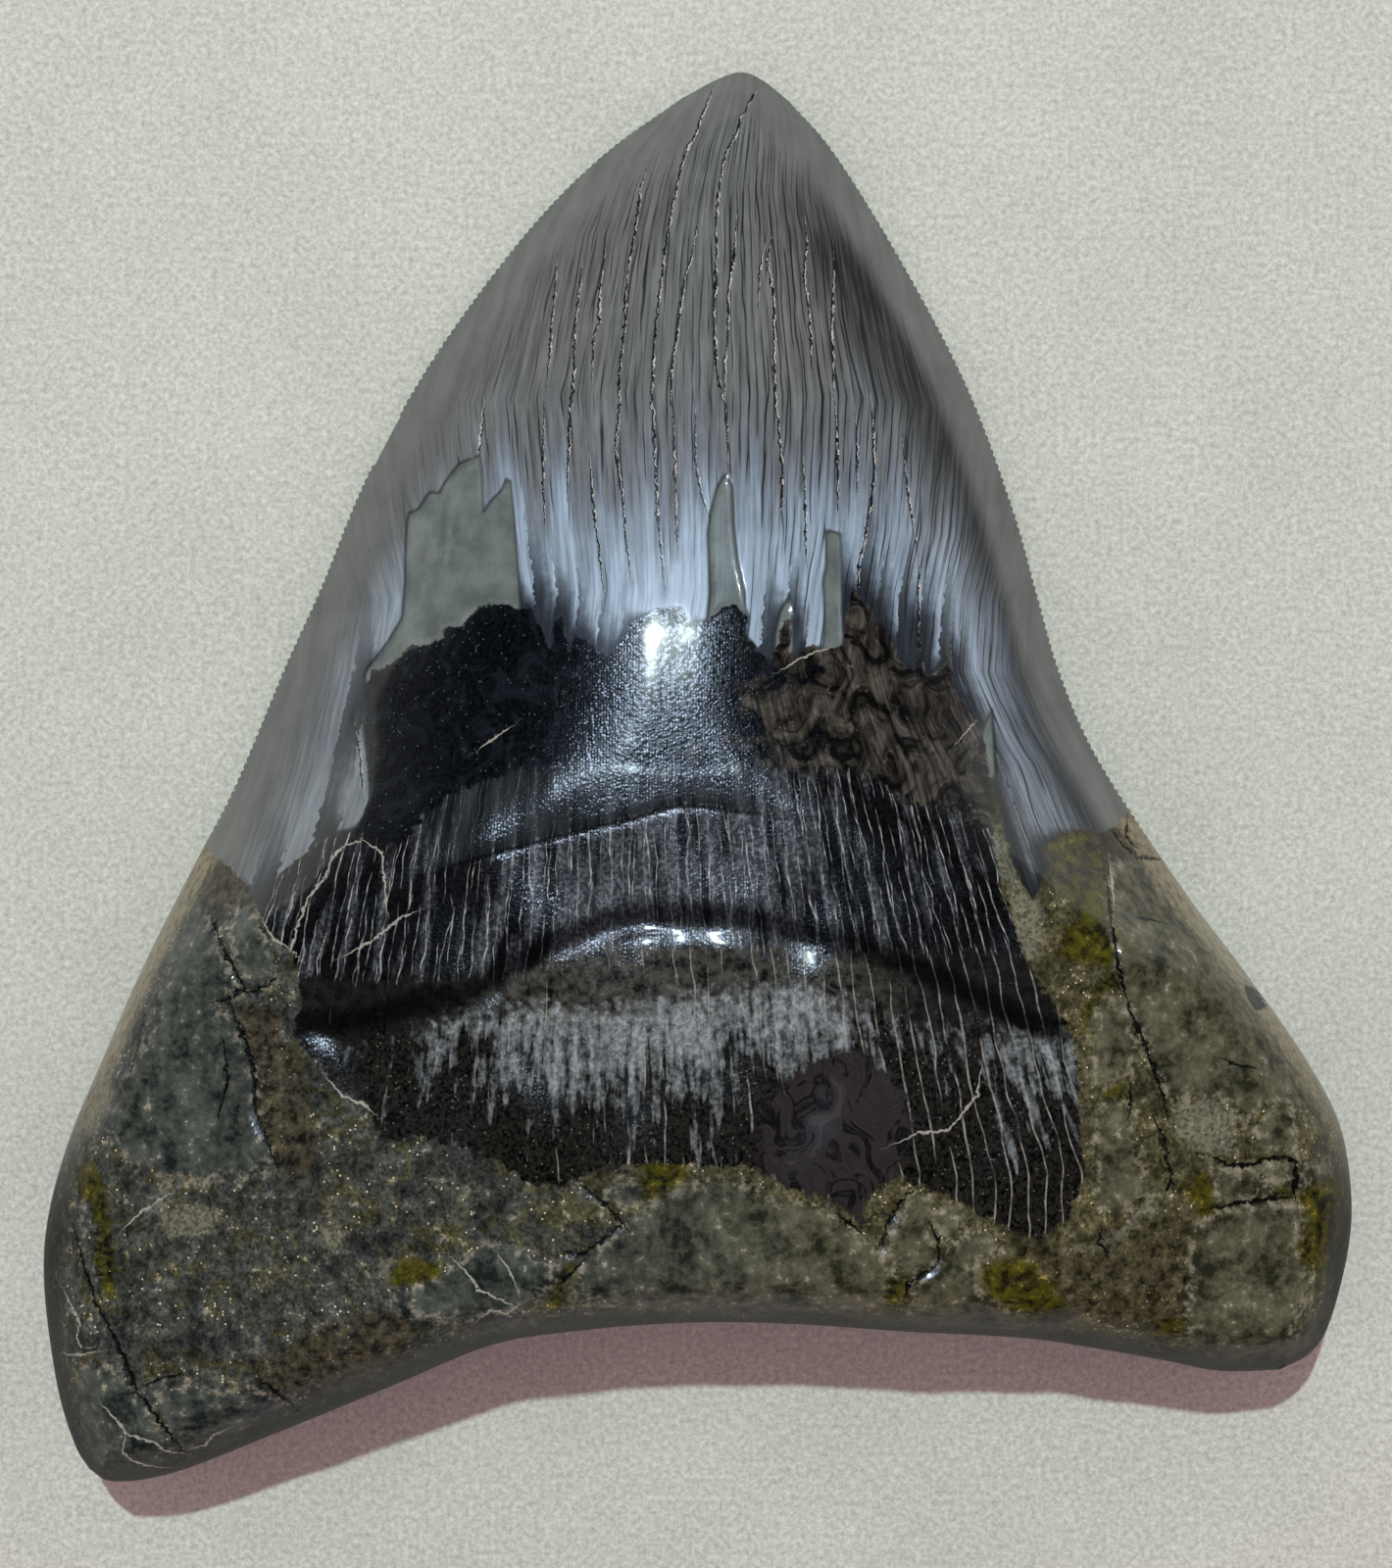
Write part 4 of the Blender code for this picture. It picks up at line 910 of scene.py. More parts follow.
def upper_faces(grid, left, right):
    """Faces of the upper side: cells of the sheet, and fans along its two serrated sides."""
    faces = cell_faces(grid[:, 1:-1])
    for row in range(ROW_CELLS):
        start, end = row * EDGE_STEPS, (row + 1) * EDGE_STEPS
        turn = EDGE_STEPS // 2
        if row == 0:
            turn = EDGE_STEPS
        elif row == ROW_CELLS - 1:
            turn = 0
        fan(faces, left[start:end + 1][::-1], (grid[row + 1, 1], grid[row, 1]), turn)
        fan(faces, right[start:end + 1], (grid[row, -2], grid[row + 1, -2]), EDGE_STEPS - turn)
    return faces


def lower_faces(grid, left, right, base, tip):
    """Faces of the underside: wider cells, with fans from the fine rim to the first of them."""
    faces = cell_faces(grid[1:-1, 1:-1])
    side, end = LOWER_SHARE * EDGE_STEPS, LOWER_SHARE
    rows, columns = grid.shape[0] - 1, grid.shape[1] - 1
    for row in range(1, rows - 1):
        part = slice(row * side, (row + 1) * side + 1)
        fan(faces, left[part][::-1], (grid[row + 1, 1], grid[row, 1]), side // 2)
        fan(faces, right[part], (grid[row, -2], grid[row + 1, -2]), side // 2)
    for column in range(1, columns - 1):
        part = slice(column * end, (column + 1) * end + 1)
        fan(faces, base[part], (grid[1, column], grid[1, column + 1]), 1)
        fan(faces, tip[part][::-1], (grid[-2, column + 1], grid[-2, column]), 1)
    first_side, last_side = slice(0, side + 1), slice(-side - 1, None)
    first_end, last_end = slice(0, end + 1), slice(-end - 1, None)
    fan(faces, np.concatenate([left[first_side][::-1], base[first_end][1:]]), (grid[1, 1],), 0)
    fan(faces, np.concatenate([base[last_end], right[first_side][1:]]), (grid[1, -2],), 0)
    fan(faces, np.concatenate([right[last_side], tip[last_end][::-1][1:]]), (grid[-2, -2],), 0)
    fan(faces, np.concatenate([tip[first_end][::-1], left[last_side][::-1][1:]]), (grid[-2, 1],), 0)
    return [face[::-1] for face in faces]


def tooth_sheets(sizes):
    """Points (x, y, rim height), which of them lie on the underside, and the faces between them.

    The points come in blocks: both sides of the rim, its two ends, the upper face and the lower face."""
    sheet = lay_sheet(*outlines())
    coarse = sheet[::LOWER_SHARE, ::LOWER_SHARE]
    sides = [side_chain(sheet, 0, 1.0, sizes), side_chain(sheet, COLUMN_CELLS, -1.0, sizes)]
    blocks = sides + [sheet[0, 1:-1], sheet[-1, 1:-1], sheet[1:-1, 1:-1], coarse[1:-1, 1:-1]]
    points = np.concatenate([block.reshape(-1, 3) for block in blocks])
    starts = np.cumsum([0] + [block.size // 3 for block in blocks])
    numbers = np.split(np.arange(len(points)), starts[1:-1])
    left, right, base, tip, upper, lower = numbers
    base = np.concatenate([left[:1], base, right[:1]])
    tip = np.concatenate([left[-1:], tip, right[-1:]])
    grid = np.zeros(sheet.shape[:2], int)
    grid[:, 0], grid[:, -1], grid[0], grid[-1] = left[::EDGE_STEPS], right[::EDGE_STEPS], base, tip
    grid[1:-1, 1:-1] = upper.reshape(blocks[4].shape[:2])
    lower_grid = np.zeros(coarse.shape[:2], int)
    lower_grid[1:-1, 1:-1] = lower.reshape(blocks[5].shape[:2])
    faces = upper_faces(grid, left, right) + lower_faces(lower_grid, left, right, base, tip)
    order = np.arange(len(points))
    return points, order >= starts[5], order < starts[4], faces


def crack_parts(lines, half_width):
    """The straight parts of some cracks, each with its half width at both ends: cracks taper out."""
    parts = []
    for line in lines:
        corners = np.array(line, float)
        widths = np.full(len(corners), half_width)
        widths[0] = widths[-1] = CRACK_END * half_width
        parts.extend(zip(corners, corners[1:], widths, widths[1:]))
    return parts


def corner_places(mesh):
    """The place and the face of each corner of each face, and the middle of each face."""
    corner_points = np.zeros(len(mesh.loops), int)
    mesh.loops.foreach_get("vertex_index", corner_points)
    points = np.zeros(len(mesh.vertices) * 3)
    mesh.vertices.foreach_get("co", points)
    places = points.reshape(-1, 3)[corner_points, :2] / MILLIMETRE
    sizes = np.zeros(len(mesh.polygons), int)
    mesh.polygons.foreach_get("loop_total", sizes)
    faces = np.repeat(np.arange(len(sizes)), sizes)
    middles = np.stack([np.bincount(faces, axis) for axis in places.T], axis=1) / sizes[:, None]
    return places, faces, middles


def nearest_part(middles, parts):
    """Which part of the cracks lies nearest to each face, or -1 where none is in reach."""
    best = np.full(len(middles), CRACK_REACH)
    which = np.full(len(middles), -1)
    for number, (start, end, _, _) in enumerate(parts):
        near = np.flatnonzero(near_box(middles, (start, end), CRACK_REACH))
        distance = segment_distance(middles[near], start, end)[0]
        closer = distance < best[near]
        best[near[closer]] = distance[closer]
        which[near[closer]] = number
    return which


def crack_offsets(places, faces, middles, lines, half_width):
    """For each corner of each face, the distance from the nearest crack, in half widths of it.

    The corners on the two sides of a crack get opposite signs, so the crack stays sharp in a cell."""
    parts = crack_parts(lines, half_width)
    part_of_corner = nearest_part(middles, parts)[faces]
    offsets = np.full(len(places), 2 * CRACK_REACH / half_width)
    for number, (start, end, first_width, last_width) in enumerate(parts):
        corners = np.flatnonzero(part_of_corner == number)
        distance, share = segment_distance(places[corners], start, end)
        run, away = end - start, places[corners] - start
        side = np.sign(run[0] * away[:, 1] - run[1] * away[:, 0])
        offsets[corners] = side * distance / (first_width + (last_width - first_width) * share)
    return offsets


def keep_on_mesh(mesh, name, domain, values):
    """Keeps a number for each point or face corner, for the material to read."""
    attribute = mesh.attributes.new(name, "FLOAT", domain)
    attribute.data.foreach_set("value", np.asarray(values, np.float32))


def lay_map(mesh, name, spots):
    """Keeps a place in the plane for each point, as a UV map in millimetres."""
    corner_points = np.zeros(len(mesh.loops), int)
    mesh.loops.foreach_get("vertex_index", corner_points)
    mesh.uv_layers.new(name=name).data.foreach_set("uv", spots[corner_points].ravel().astype(np.float32))


def tooth_mesh(sizes):
    """The closed, fine mesh of the tooth, with the borders of its parts kept on it.

    It needs exact heights at some ninety thousand points, so it is laid from them directly."""
    points, below, on_rim, faces = tooth_sheets(sizes)
    flat, rim_heights = points[:, :2].copy(), points[:, 2].copy()
    left, right, base, tip = [curve[::2] for curve in outlines()]
    outline = np.vstack([base, right[1:], tip[::-1][1:], left[::-1][1:]])
    rim, edge_run = rim_distance(flat, outline)
    borders = surface_borders(flat, below, rim)
    rim[on_rim] = 0.0
    heights = face_heights(flat, rim_heights, below, borders, sizes)
    points[:, 2] = np.where(on_rim, rim_heights, heights)
    points = np.clip(points, *[np.array(corner) / MILLIMETRE for corner in SOLID_BOX])
    mesh = bpy.data.meshes.new(PIECE_NAME)
    mesh.from_pydata((points * MILLIMETRE).tolist(), [], faces)
    mesh.update()
    for name, values in borders.items():
        keep_on_mesh(mesh, name, "POINT", values)
    lay_map(mesh, STRAND_MAP, np.stack([borders["strand"], borders["along"]], axis=1))
    lay_map(mesh, SKIN_MAP, skin_places(flat, rim_heights, below, rim, edge_run, outline))
    corners = corner_places(mesh)
    for name, (lines, half_width) in CRACKS.items():
        keep_on_mesh(mesh, name, "CORNER", crack_offsets(*corners, lines, half_width))
    return mesh


def tooth_object(sizes):
    """The tooth as an object of the scene, shaded smooth over all but its sharp edges."""
    tooth = bpy.data.objects.new(PIECE_NAME, tooth_mesh(sizes))
    bpy.context.scene.collection.objects.link(tooth)
    bpy.ops.object.select_all(action="DESELECT")
    tooth.select_set(True)
    bpy.context.view_layer.objects.active = tooth
    bpy.ops.object.shade_smooth_by_angle(angle=SHARP_ANGLE)
    return tooth


# What the nodes do, in words.
TIMES = {"operation": "MULTIPLY"}
PLUS = {"operation": "ADD"}
MINUS = {"operation": "SUBTRACT"}
OVER = {"operation": "DIVIDE"}
SIZE_OF = {"operation": "ABSOLUTE"}
TIMES_PLUS = {"operation": "MULTIPLY_ADD"}
SMOOTH = {"interpolation_type": "SMOOTHSTEP"}
IN_COLOUR = {"data_type": "RGBA"}
SHADED = {"data_type": "RGBA", "clamp_factor": False}  # over black, so that the share is a brightness
FLAT_NOISE = {"noise_dimensions": "2D"}
FLAT_CELLS = {"voronoi_dimensions": "2D"}
BLACK = "#000000"
NOISE = (0.3, 0.7)  # soft noise seldom leaves this range
WIDE_NOISE = (0.2, 0.8)


def linear(code):
    """An sRGB hex colour as the linear colour that the shaders use."""
    parts = [int(code[place:place + 2], 16) / 255.0 for place in (1, 3, 5)]
    return (*(part / 12.92 if part <= 0.04045 else ((part + 0.055) / 1.055) ** 2.4 for part in parts), 1.0)


def empty_nodes(block):
    """Clears the nodes of a material or world, and gives the function that adds nodes to it."""
    block.use_nodes = True
    block.node_tree.nodes.clear()
    return functools.partial(add_node, block.node_tree)


def add_node(tree, kind, *inputs, out=0, named=None, **settings):
    """Adds a node with its settings, and gives one of its outputs.

    Its inputs are filled in order or by name, each with a link, a number or a hex colour."""
    node = tree.nodes.new("ShaderNode" + kind)
    for name, value in settings.items():
        setattr(node, name, value)
    pairs = list(zip([socket for socket in node.inputs if socket.enabled], inputs))
    pairs += [(node.inputs[name], value) for name, value in (named or {}).items()]
    for socket, value in pairs:
        if isinstance(value, bpy.types.NodeSocket):
            tree.links.new(value, socket)
        elif value is not None:
            socket.default_value = linear(value) if isinstance(value, str) else value
    return [socket for socket in node.outputs if socket.enabled][out]


def lay_over(add, share, under, over):
    """One finish, a colour and a roughness, over another where share is 1."""
    colour = add("Mix", share, under[0], over[0], **IN_COLOUR)
    if under[1] == over[1]:
        return colour, under[1]
    return colour, add("Mix", share, under[1], over[1])


def scaled(add, value, *ramps, **settings):
    """A value times some ramps: each has its own value, where it starts and ends, and what it gives there."""
    for ramp in ramps:
        value = add("Math", value, add("MapRange", *ramp, **settings), **TIMES)
    return value


def between(add, value, start, end, first, second, high=1.0):
    """A colour that turns from the first to the second, or part of the way, between two values."""
    share = add("MapRange", value, start, end, 0.0, high)
    return add("Mix", share, first, second, **IN_COLOUR)


def line_at(add, distance, inner, outer, share=1.0, **settings):
    """A line along the place where a distance is 0: full as far as inner, and gone at outer."""
    return add("MapRange", add("Math", distance, **SIZE_OF), inner, outer, share, 0.0, **settings)


def moved(add, distance, noise, amount, noise_range=NOISE):
    """A distance that noise moves down and up by up to this amount."""
    shift = add("MapRange", noise, *noise_range, -amount, amount)
    return add("Math", shift, distance, **PLUS)


def ragged(add, at, name, amount):
    """Distance from a border of the mesh, made ragged over a strip of this width."""
    return add("Math", at["wobble"], amount, at[name], **TIMES_PLUS)


def growth_lines(add, at, spacing, run, seed, width):
    """Wavy lines along the growth strands: 1 on a line, and a random value that varies along it.

    Each line wanders across its own strand, and gets thicker and thinner."""
    count = add("Math", at["strand"], spacing, **OVER)
    line = add("Math", count, operation="FLOOR")
    spot = add("Math", line, LINE_GAP, seed, **TIMES_PLUS)
    spot = add("Math", at["along"], 1.0 / run, spot, **TIMES_PLUS)
    change = add("TexNoise", spot, 1.0, 2.0, 0.6, noise_dimensions="1D", out=1)
    wander, chosen, thick = add("SeparateColor", change, out=slice(0, 3))
    middle = add("Math", wander, 0.8, 0.1, **TIMES_PLUS)
    offset = add("Math", add("Math", count, operation="FRACT"), middle, **MINUS)
    reach = add("Math", add("Math", offset, **SIZE_OF), thick, **OVER)
    return add("MapRange", reach, 0.8 * width / spacing, 2.0 * width / spacing, 1.0, 0.0), chosen


def streaks(add, at, wide, long, seed, detail):
    """Soft noise drawn out along the growth strands."""
    shift = (seed * STREAK_GAP, 0.0, 0.0)
    spot = add("Mapping", at["strand_map"], shift, None, (1.0 / wide, 1.0 / long, 1.0))
    return add("TexNoise", spot, 1.0, detail, 0.55, **FLAT_NOISE)


def off_middle(add, at):
    """Distance from the neck's middle, which lies 2 mm left of the tooth's."""
    return add("Math", add("Math", at["across"], 2.0, **PLUS), **SIZE_OF)


def enamel_body(add, at, colours):
    """Grey enamel, paler along the cutting edges, with a smoky band inside them and a blue-white haze below.

    It also gives how far inside the cutting edges each spot is, and how bluish."""
    rim = at["rim"]
    inner = add("MapRange", add("Math", rim, at["wobble"], **PLUS), 2.0, 7.0, 0.0, 1.0, **SMOOTH)
    body = add("Mix", inner, colours["enamel_rim"], colours["enamel_core"], **IN_COLOUR)
    smoky = add("MapRange", rim, 2.4, 4.6, 0.0, 1.0, **SMOOTH)
    smoky = scaled(
        add, smoky, (rim, 12.0, 6.0, 0.0, 1.0), (at["across"], 2.0, 14.0, 0.2, 1.0),
        (at["along"], 60.0, 48.0, 0.0, 1.0), **SMOOTH)
    smoky = scaled(add, smoky, (at["fibre"], 0.38, 0.62, 1.0, 0.75))
    body = add("Mix", smoky, body, "#1f211f", **IN_COLOUR)
    reach = add("Math", streaks(add, at, *HAZE_STREAKS), 16.0, at["enamel"], **TIMES_PLUS)
    bluer = add("MapRange", reach, 23.0, 11.0, 0.0, 1.0, **SMOOTH)
    hazy = add("Mix", bluer, "#6c767c", colours["enamel_haze"], **IN_COLOUR)
    paler = add("MapRange", reach, 31.0, 16.0, 0.0, 1.0, **SMOOTH)
    paler = scaled(
        add, paler, (rim, 3.0, 9.0, 0.0, 1.0), (at["along"], -8.0, 16.0, 0.45, 1.0),
        (at["across"], -32.0, -17.0, 0.5, 1.0), **SMOOTH)
    return add("Mix", paler, body, hazy, **IN_COLOUR), inner, bluer


def dark_streaks(add, at):
    """Dark streaks that run up into the enamel from its lower edge, each to a height of its own."""
    column = add("Math", at["strand"], 0.42, add("Math", at["wobble"], 0.25, **TIMES), **TIMES_PLUS)
    chance = add("TexWhiteNoise", add("Math", column, operation="FLOOR"), noise_dimensions="1D")
    across = add("Math", column, operation="FRACT")
    reach = scaled(add, chance, (across, 0.0, 0.9, 11.5, 3.0))
    reach = scaled(add, reach, (add("Math", at["across"], **SIZE_OF), 5.0, 12.0, 0.5, 1.25))
    ending = add("MapRange", add("Math", at["enamel"], reach, **OVER), 0.05, 1.0, 0.95, 0.0, **SMOOTH)
    return scaled(add, ending, (at["rim"], 4.0, 9.0, 0.0, 1.0), **SMOOTH)


def enamel_finish(add, at, colours):
    """Polished enamel: a satin gloss over fine growth strands, with thin dark cracks between them."""
    body, inner, bluer = enamel_body(add, at, colours)
    body = add("Mix", dark_streaks(add, at), body, "#14181f", **IN_COLOUR)
    shade = add("Mix", inner, 1.0, add("MapRange", at["fibre"], *NOISE, 0.7, 1.26))
    shade = scaled(add, shade, (at["mottle"], *NOISE, 0.92, 1.08), (at["veil"], *NOISE, 0.87, 1.1))
    finish = (add("Mix", shade, BLACK, body, **SHADED), ENAMEL_ROUGH)
    for kind in ENAMEL_LINES:
        crack, chosen = growth_lines(add, at, *kind)
        chosen = add("Math", bluer, -0.15, chosen, **TIMES_PLUS)
        chosen = add("Math", at["across"], 0.005, chosen, **TIMES_PLUS)
        there = add("Math", add("MapRange", chosen, 0.4, 0.56, 0.0, 0.85), inner, **TIMES)
        finish = lay_over(add, add("Math", crack, there, **TIMES), finish, ("#161714", ENAMEL_ROUGH))
    offset = moved(add, at["enamel_crack"], at["grit"], 2.2, WIDE_NOISE)
    finish = lay_over(add, line_at(add, offset, 0.7, 1.6), finish, ("#0c0c0b", ENAMEL_ROUGH))
    # painted highlight: a pale broken line along one edge of each long crack
    crack_edge_highlight = line_at(add, add("Math", offset, 1.3, **MINUS), 0.3, 0.9)
    crack_edge_highlight = scaled(add, crack_edge_highlight, (at["speck"], 0.47, 0.53, 0.0, 0.9))
    return lay_over(add, crack_edge_highlight, finish, ("#cfd0c8", ENAMEL_ROUGH))


def flaked_finish(add, at):
    """Enamel whose outer skin has flaked off: greenish grey and faintly mottled."""
    return between(add, at["mottle"], 0.35, 0.65, "#58645f", "#707c78"), ENAMEL_ROUGH


def crumbled_finish(add, at):
    """Black crumbled dentine under the polish, with painted cold glints, and brown swirls on the right."""
    black = add("Mix", at["grain_b"], "#010203", "#0d1115", **IN_COLOUR)
    black = (between(add, at["wave"], 0.5, 0.7, black, "#2a3038", high=0.4), STONE_ROUGH)
    black = lay_over(add, at["glint"], black, ("#444c55", STONE_ROUGH))
    brown = between(add, at["wave"], 0.4, 0.7, "#0b0b09", "#58554b")
    brown = between(add, at["band"], -1.0, 1.0, brown, "#0c0c09", high=0.15)
    brown = add("Mix", add("MapRange", at["fibre"], *NOISE, 0.35, 1.7), BLACK, brown, **SHADED)
    brown = add("Mix", add("Math", at["fleck"], 0.5, **TIMES), brown, "#7b776a", **IN_COLOUR)
    side = moved(add, at["across"], at["mottle"], 9.0)
    side = add("MapRange", side, 2.0, 9.0, 0.0, 0.9, **SMOOTH)
    return lay_over(add, side, black, (brown, STONE_ROUGH))


def striped_finish(add, at):
    """Black polished dentine crossed by pale filled cracks that run down it."""
    finish = (add("Mix", at["grain_b"], "#030304", "#131415", **IN_COLOUR), STONE_ROUGH)
    # the pale speckle is partly the stone's own grey veil and partly painted sparkle and sheen, which grows
    # towards the middle, under the key light's highlight
    middle = add("MapRange", off_middle(add, at), 20.0, 4.0, 0.0, 0.2, **SMOOTH)
    veil = add("MapRange", add("Math", at["veil"], middle, **PLUS), 0.52, 0.8, 0.0, 0.9)
    veil = scaled(add, veil, (at["grain_b"], 0.4, 0.95, 0.25, 0.9))
    finish = lay_over(add, veil, finish, ("#767f85", STONE_ROUGH))
    for *kind, pale in BAND_VEINS:
        vein, chosen = growth_lines(add, at, *kind)
        vein = scaled(add, vein, (chosen, 0.4, 0.54, 0.0, 1.0), (at["speck"], 0.42, 0.6, 0.2, 1.0))
        finish = lay_over(add, vein, finish, (pale, STONE_ROUGH))
    return finish


def band_finish(add, at):
    """The striped band of the neck, with a smooth grey lens in its upper half."""
    lens = (between(add, at["veil"], *NOISE, "#101415", "#2e3537"), STONE_ROUGH)
    place = add("MapRange", at["across"], -27.0, -20.0, 0.0, 0.85, **SMOOTH)
    place = scaled(add, place, (at["across"], 10.0, 3.0, 0.0, 1.0), **SMOOTH)
    inside = add("Math", at["lens_crack"], at["wobble"], **PLUS)
    inside = add("MapRange", inside, -0.1, 0.4, 0.0, 1.0, **SMOOTH)
    finish = lay_over(add, add("Math", inside, place, **TIMES), striped_finish(add, at), lens)
    crack = line_at(add, at["lens_crack"], 0.1, 0.3)
    return lay_over(add, add("Math", crack, place, **TIMES), finish, ("#050505", STONE_ROUGH))


def silvery_finish(add, at):
    """Silvery streaks over black, thinner towards the black blotches under them."""
    silver = add("Math", add("Math", at["silver"], at["veil"], **PLUS), at["speck"], **PLUS)
    silver = add("Math", silver, add("MapRange", at["blotch_top"], -2.0, 7.0, -0.35, 0.12), **PLUS)
    silver = between(add, silver, 1.2, 1.75, "#1b1f1f", "#8c9695")
    shade = add("MapRange", at["grain_b"], 0.0, 1.0, 0.6, 1.4)
    return add("Mix", shade, BLACK, silver, **SHADED), STONE_ROUGH


def neck_foot_finish(add, at):
    """Below the fold: brown-grey dust, then silvery streaks that end in black blotches, with pale veins."""
    middle = off_middle(add, at)
    dusty = add("MapRange", at["speck"], 0.35, 0.65, 0.0, 1.0)
    dusty = scaled(add, dusty, (middle, 25.0, 12.0, 0.15, 1.0), **SMOOTH)
    finish = (add("Mix", dusty, "#10100f", "#4d4e45", **IN_COLOUR), STONE_ROUGH)
    silver = silvery_finish(add, at)
    share = add("MapRange", ragged(add, at, "silver_top", 3.0), 1.2, -1.5, 0.0, 0.9, **SMOOTH)
    finish = lay_over(add, share, finish, silver)
    edge = moved(add, at["blotch_top"], at["veil"], 6.0)
    edge = add("Math", edge, add("MapRange", at["silver"], *NOISE, -2.5, 2.5), **PLUS)
    black = (add("Mix", at["grain_b"], "#030303", "#282721", **IN_COLOUR), STONE_ROUGH)
    # painted glints: a few bright cells in the black
    black = lay_over(add, at["glint"], black, ("#5c5d55", STONE_ROUGH))
    share = add("MapRange", edge, 0.9, -1.0, 0.0, 1.0, **SMOOTH)
    finish = lay_over(add, share, finish, black)
    vein, chosen = growth_lines(add, at, *FOOT_VEINS)
    chosen = add("Math", at["across"], 0.006, chosen, **TIMES_PLUS)
    vein = scaled(add, vein, (chosen, 0.48, 0.6, 0.0, 1.0), (at["speck"], 0.35, 0.6, 0.2, 0.9))
    return lay_over(add, vein, finish, ("#9a9c92", STONE_ROUGH))


def neck_finish(add, at):
    """The whole neck, from the crumbled edge of the enamel down to the black blotches of its foot."""
    below = add("MapRange", ragged(add, at, "fold_lip", 1.5), 0.6, -0.8, 0.0, 1.0, **SMOOTH)
    finish = lay_over(add, below, band_finish(add, at), neck_foot_finish(add, at))
    # painted shade: a dark line along the fold's groove
    fold = line_at(add, at["fold"], 0.4, 2.0, 0.8, **SMOOTH)
    finish = lay_over(add, fold, finish, ("#050505", STONE_ROUGH))
    above = add("MapRange", ragged(add, at, "band_top", 1.6), -0.2, 0.4, 0.0, 1.0, **SMOOTH)
    return lay_over(add, above, finish, crumbled_finish(add, at))


def swirl_finish(add, at):
    """Purple-grey agate that has filled a hollow in swirls."""
    colour = between(add, at["wave"], 0.4, 0.65, "#100f11", "#322e2f")
    return between(add, at["band"], -1.0, 1.0, colour, "#54514f", high=0.22), STONE_ROUGH


def grain_finish(add, at, colours):
    """Root stone: polished crystal grains with painted gold glints, greyer on the left and olive on the
    right.
    """
    side = moved(add, at["across"], at["mottle"], 12.0)
    side = add("MapRange", side, -22.0, 12.0, 0.0, 1.0, **SMOOTH)
    mean = add("Mix", side, colours["grain_left"], colours["grain_right"], **IN_COLOUR)
    shade = add("MapRange", at["grain_b"], 0.0, 1.0, 0.5, 1.4)
    shade = scaled(add, shade, (at["speck"], *NOISE, 0.4, 1.5), (at["mottle"], *NOISE, 0.4, 1.6))
    mean = between(add, at["wave"], 0.5, 0.66, mean, "#474627", high=0.75)
    # painted glints: a few bright gold cells over the grains
    glints = scaled(add, at["glint"], (at["mottle"], 0.42, 0.55, 0.0, 1.0))
    stone = add("Mix", shade, BLACK, mean, **SHADED)
    stone = add("Mix", at["fleck"], stone, "#a39d83", **IN_COLOUR)
    return lay_over(add, glints, (stone, STONE_ROUGH), ("#e2dab4", STONE_ROUGH))


def plate_finish(add, at):
    """Smooth dark plates of dentine in the root stone, faintly clouded."""
    side = add("MapRange", at["across"], -20.0, 20.0, 0.0, 1.0, **SMOOTH)
    deep = add("Mix", side, "#1b2220", "#26281b", **IN_COLOUR)
    light = add("Mix", side, "#5b6358", "#6d6e56", **IN_COLOUR)
    cloud = add("MapRange", at["mottle"], *NOISE, -0.1, 0.65)
    cloud = add("Math", cloud, add("MapRange", at["speck"], 0.4, 0.6, -0.05, 0.35), **PLUS)
    colour = add("Mix", cloud, deep, light, **IN_COLOUR)
    return add("Mix", at["fleck"], colour, "#9c9a86", **IN_COLOUR), STONE_ROUGH


def root_ground(add, at, colours, edges):
    """The grains of the root, with painted shade up beside the neck, and patches of brown and of pale grain.
    """
    # painted shade: the root stone is darkened in a band up beside the neck, under the enamel
    under = add("MapRange", at["along"], -15.0, -8.0, 0.0, 0.6, **SMOOTH)
    finish = lay_over(add, under, grain_finish(add, at, colours), ("#201d0e", STONE_ROUGH))
    brown = (between(add, at["speck"], 0.38, 0.64, "#12100a", "#565038"), STONE_ROUGH)
    share = add("MapRange", edges["brown"], -0.6, 0.5, 0.0, 0.7, **SMOOTH)
    finish = lay_over(add, share, finish, brown)
    pale = (add("Mix", at["grain_b"], "#4b4d40", "#858670", **IN_COLOUR), STONE_ROUGH)
    share = add("MapRange", edges["pale"], -0.5, 0.5, 0.0, 0.8, **SMOOTH)
    return lay_over(add, share, finish, pale)


def root_patches(add, at, colours, edges, finish):
    """Smooth plates with dusty pale outlines, and clear amber-coloured calcite between them."""
    dusty = line_at(add, edges["plate"], 0.15, 0.7)
    dusty = scaled(add, dusty, (at["speck"], 0.48, 0.62, 0.0, 0.7), (at["rim"], 2.5, 5.0, 0.0, 1.0))
    plates = plate_finish(add, at)
    share = add("MapRange", edges["plate"], -0.15, 0.15, 0.0, 1.0, **SMOOTH)
    finish = lay_over(add, share, finish, plates)
    finish = lay_over(add, dusty, finish, ("#918d7a", STONE_ROUGH))
    depth = add("Math", at["speck"], at["wave"], **PLUS)
    amber = between(add, depth, 0.82, 1.25, "#100d05", colours["amber"])
    # painted glints: bright gold flecks in the amber
    amber = add("Mix", add("Math", at["fleck"], 0.6, **TIMES), amber, "#a98f35", **IN_COLOUR)
    share = add("MapRange", edges["amber"], -0.4, 0.5, 0.0, 0.9, **SMOOTH)
    return lay_over(add, share, finish, (amber, AMBER_ROUGH))


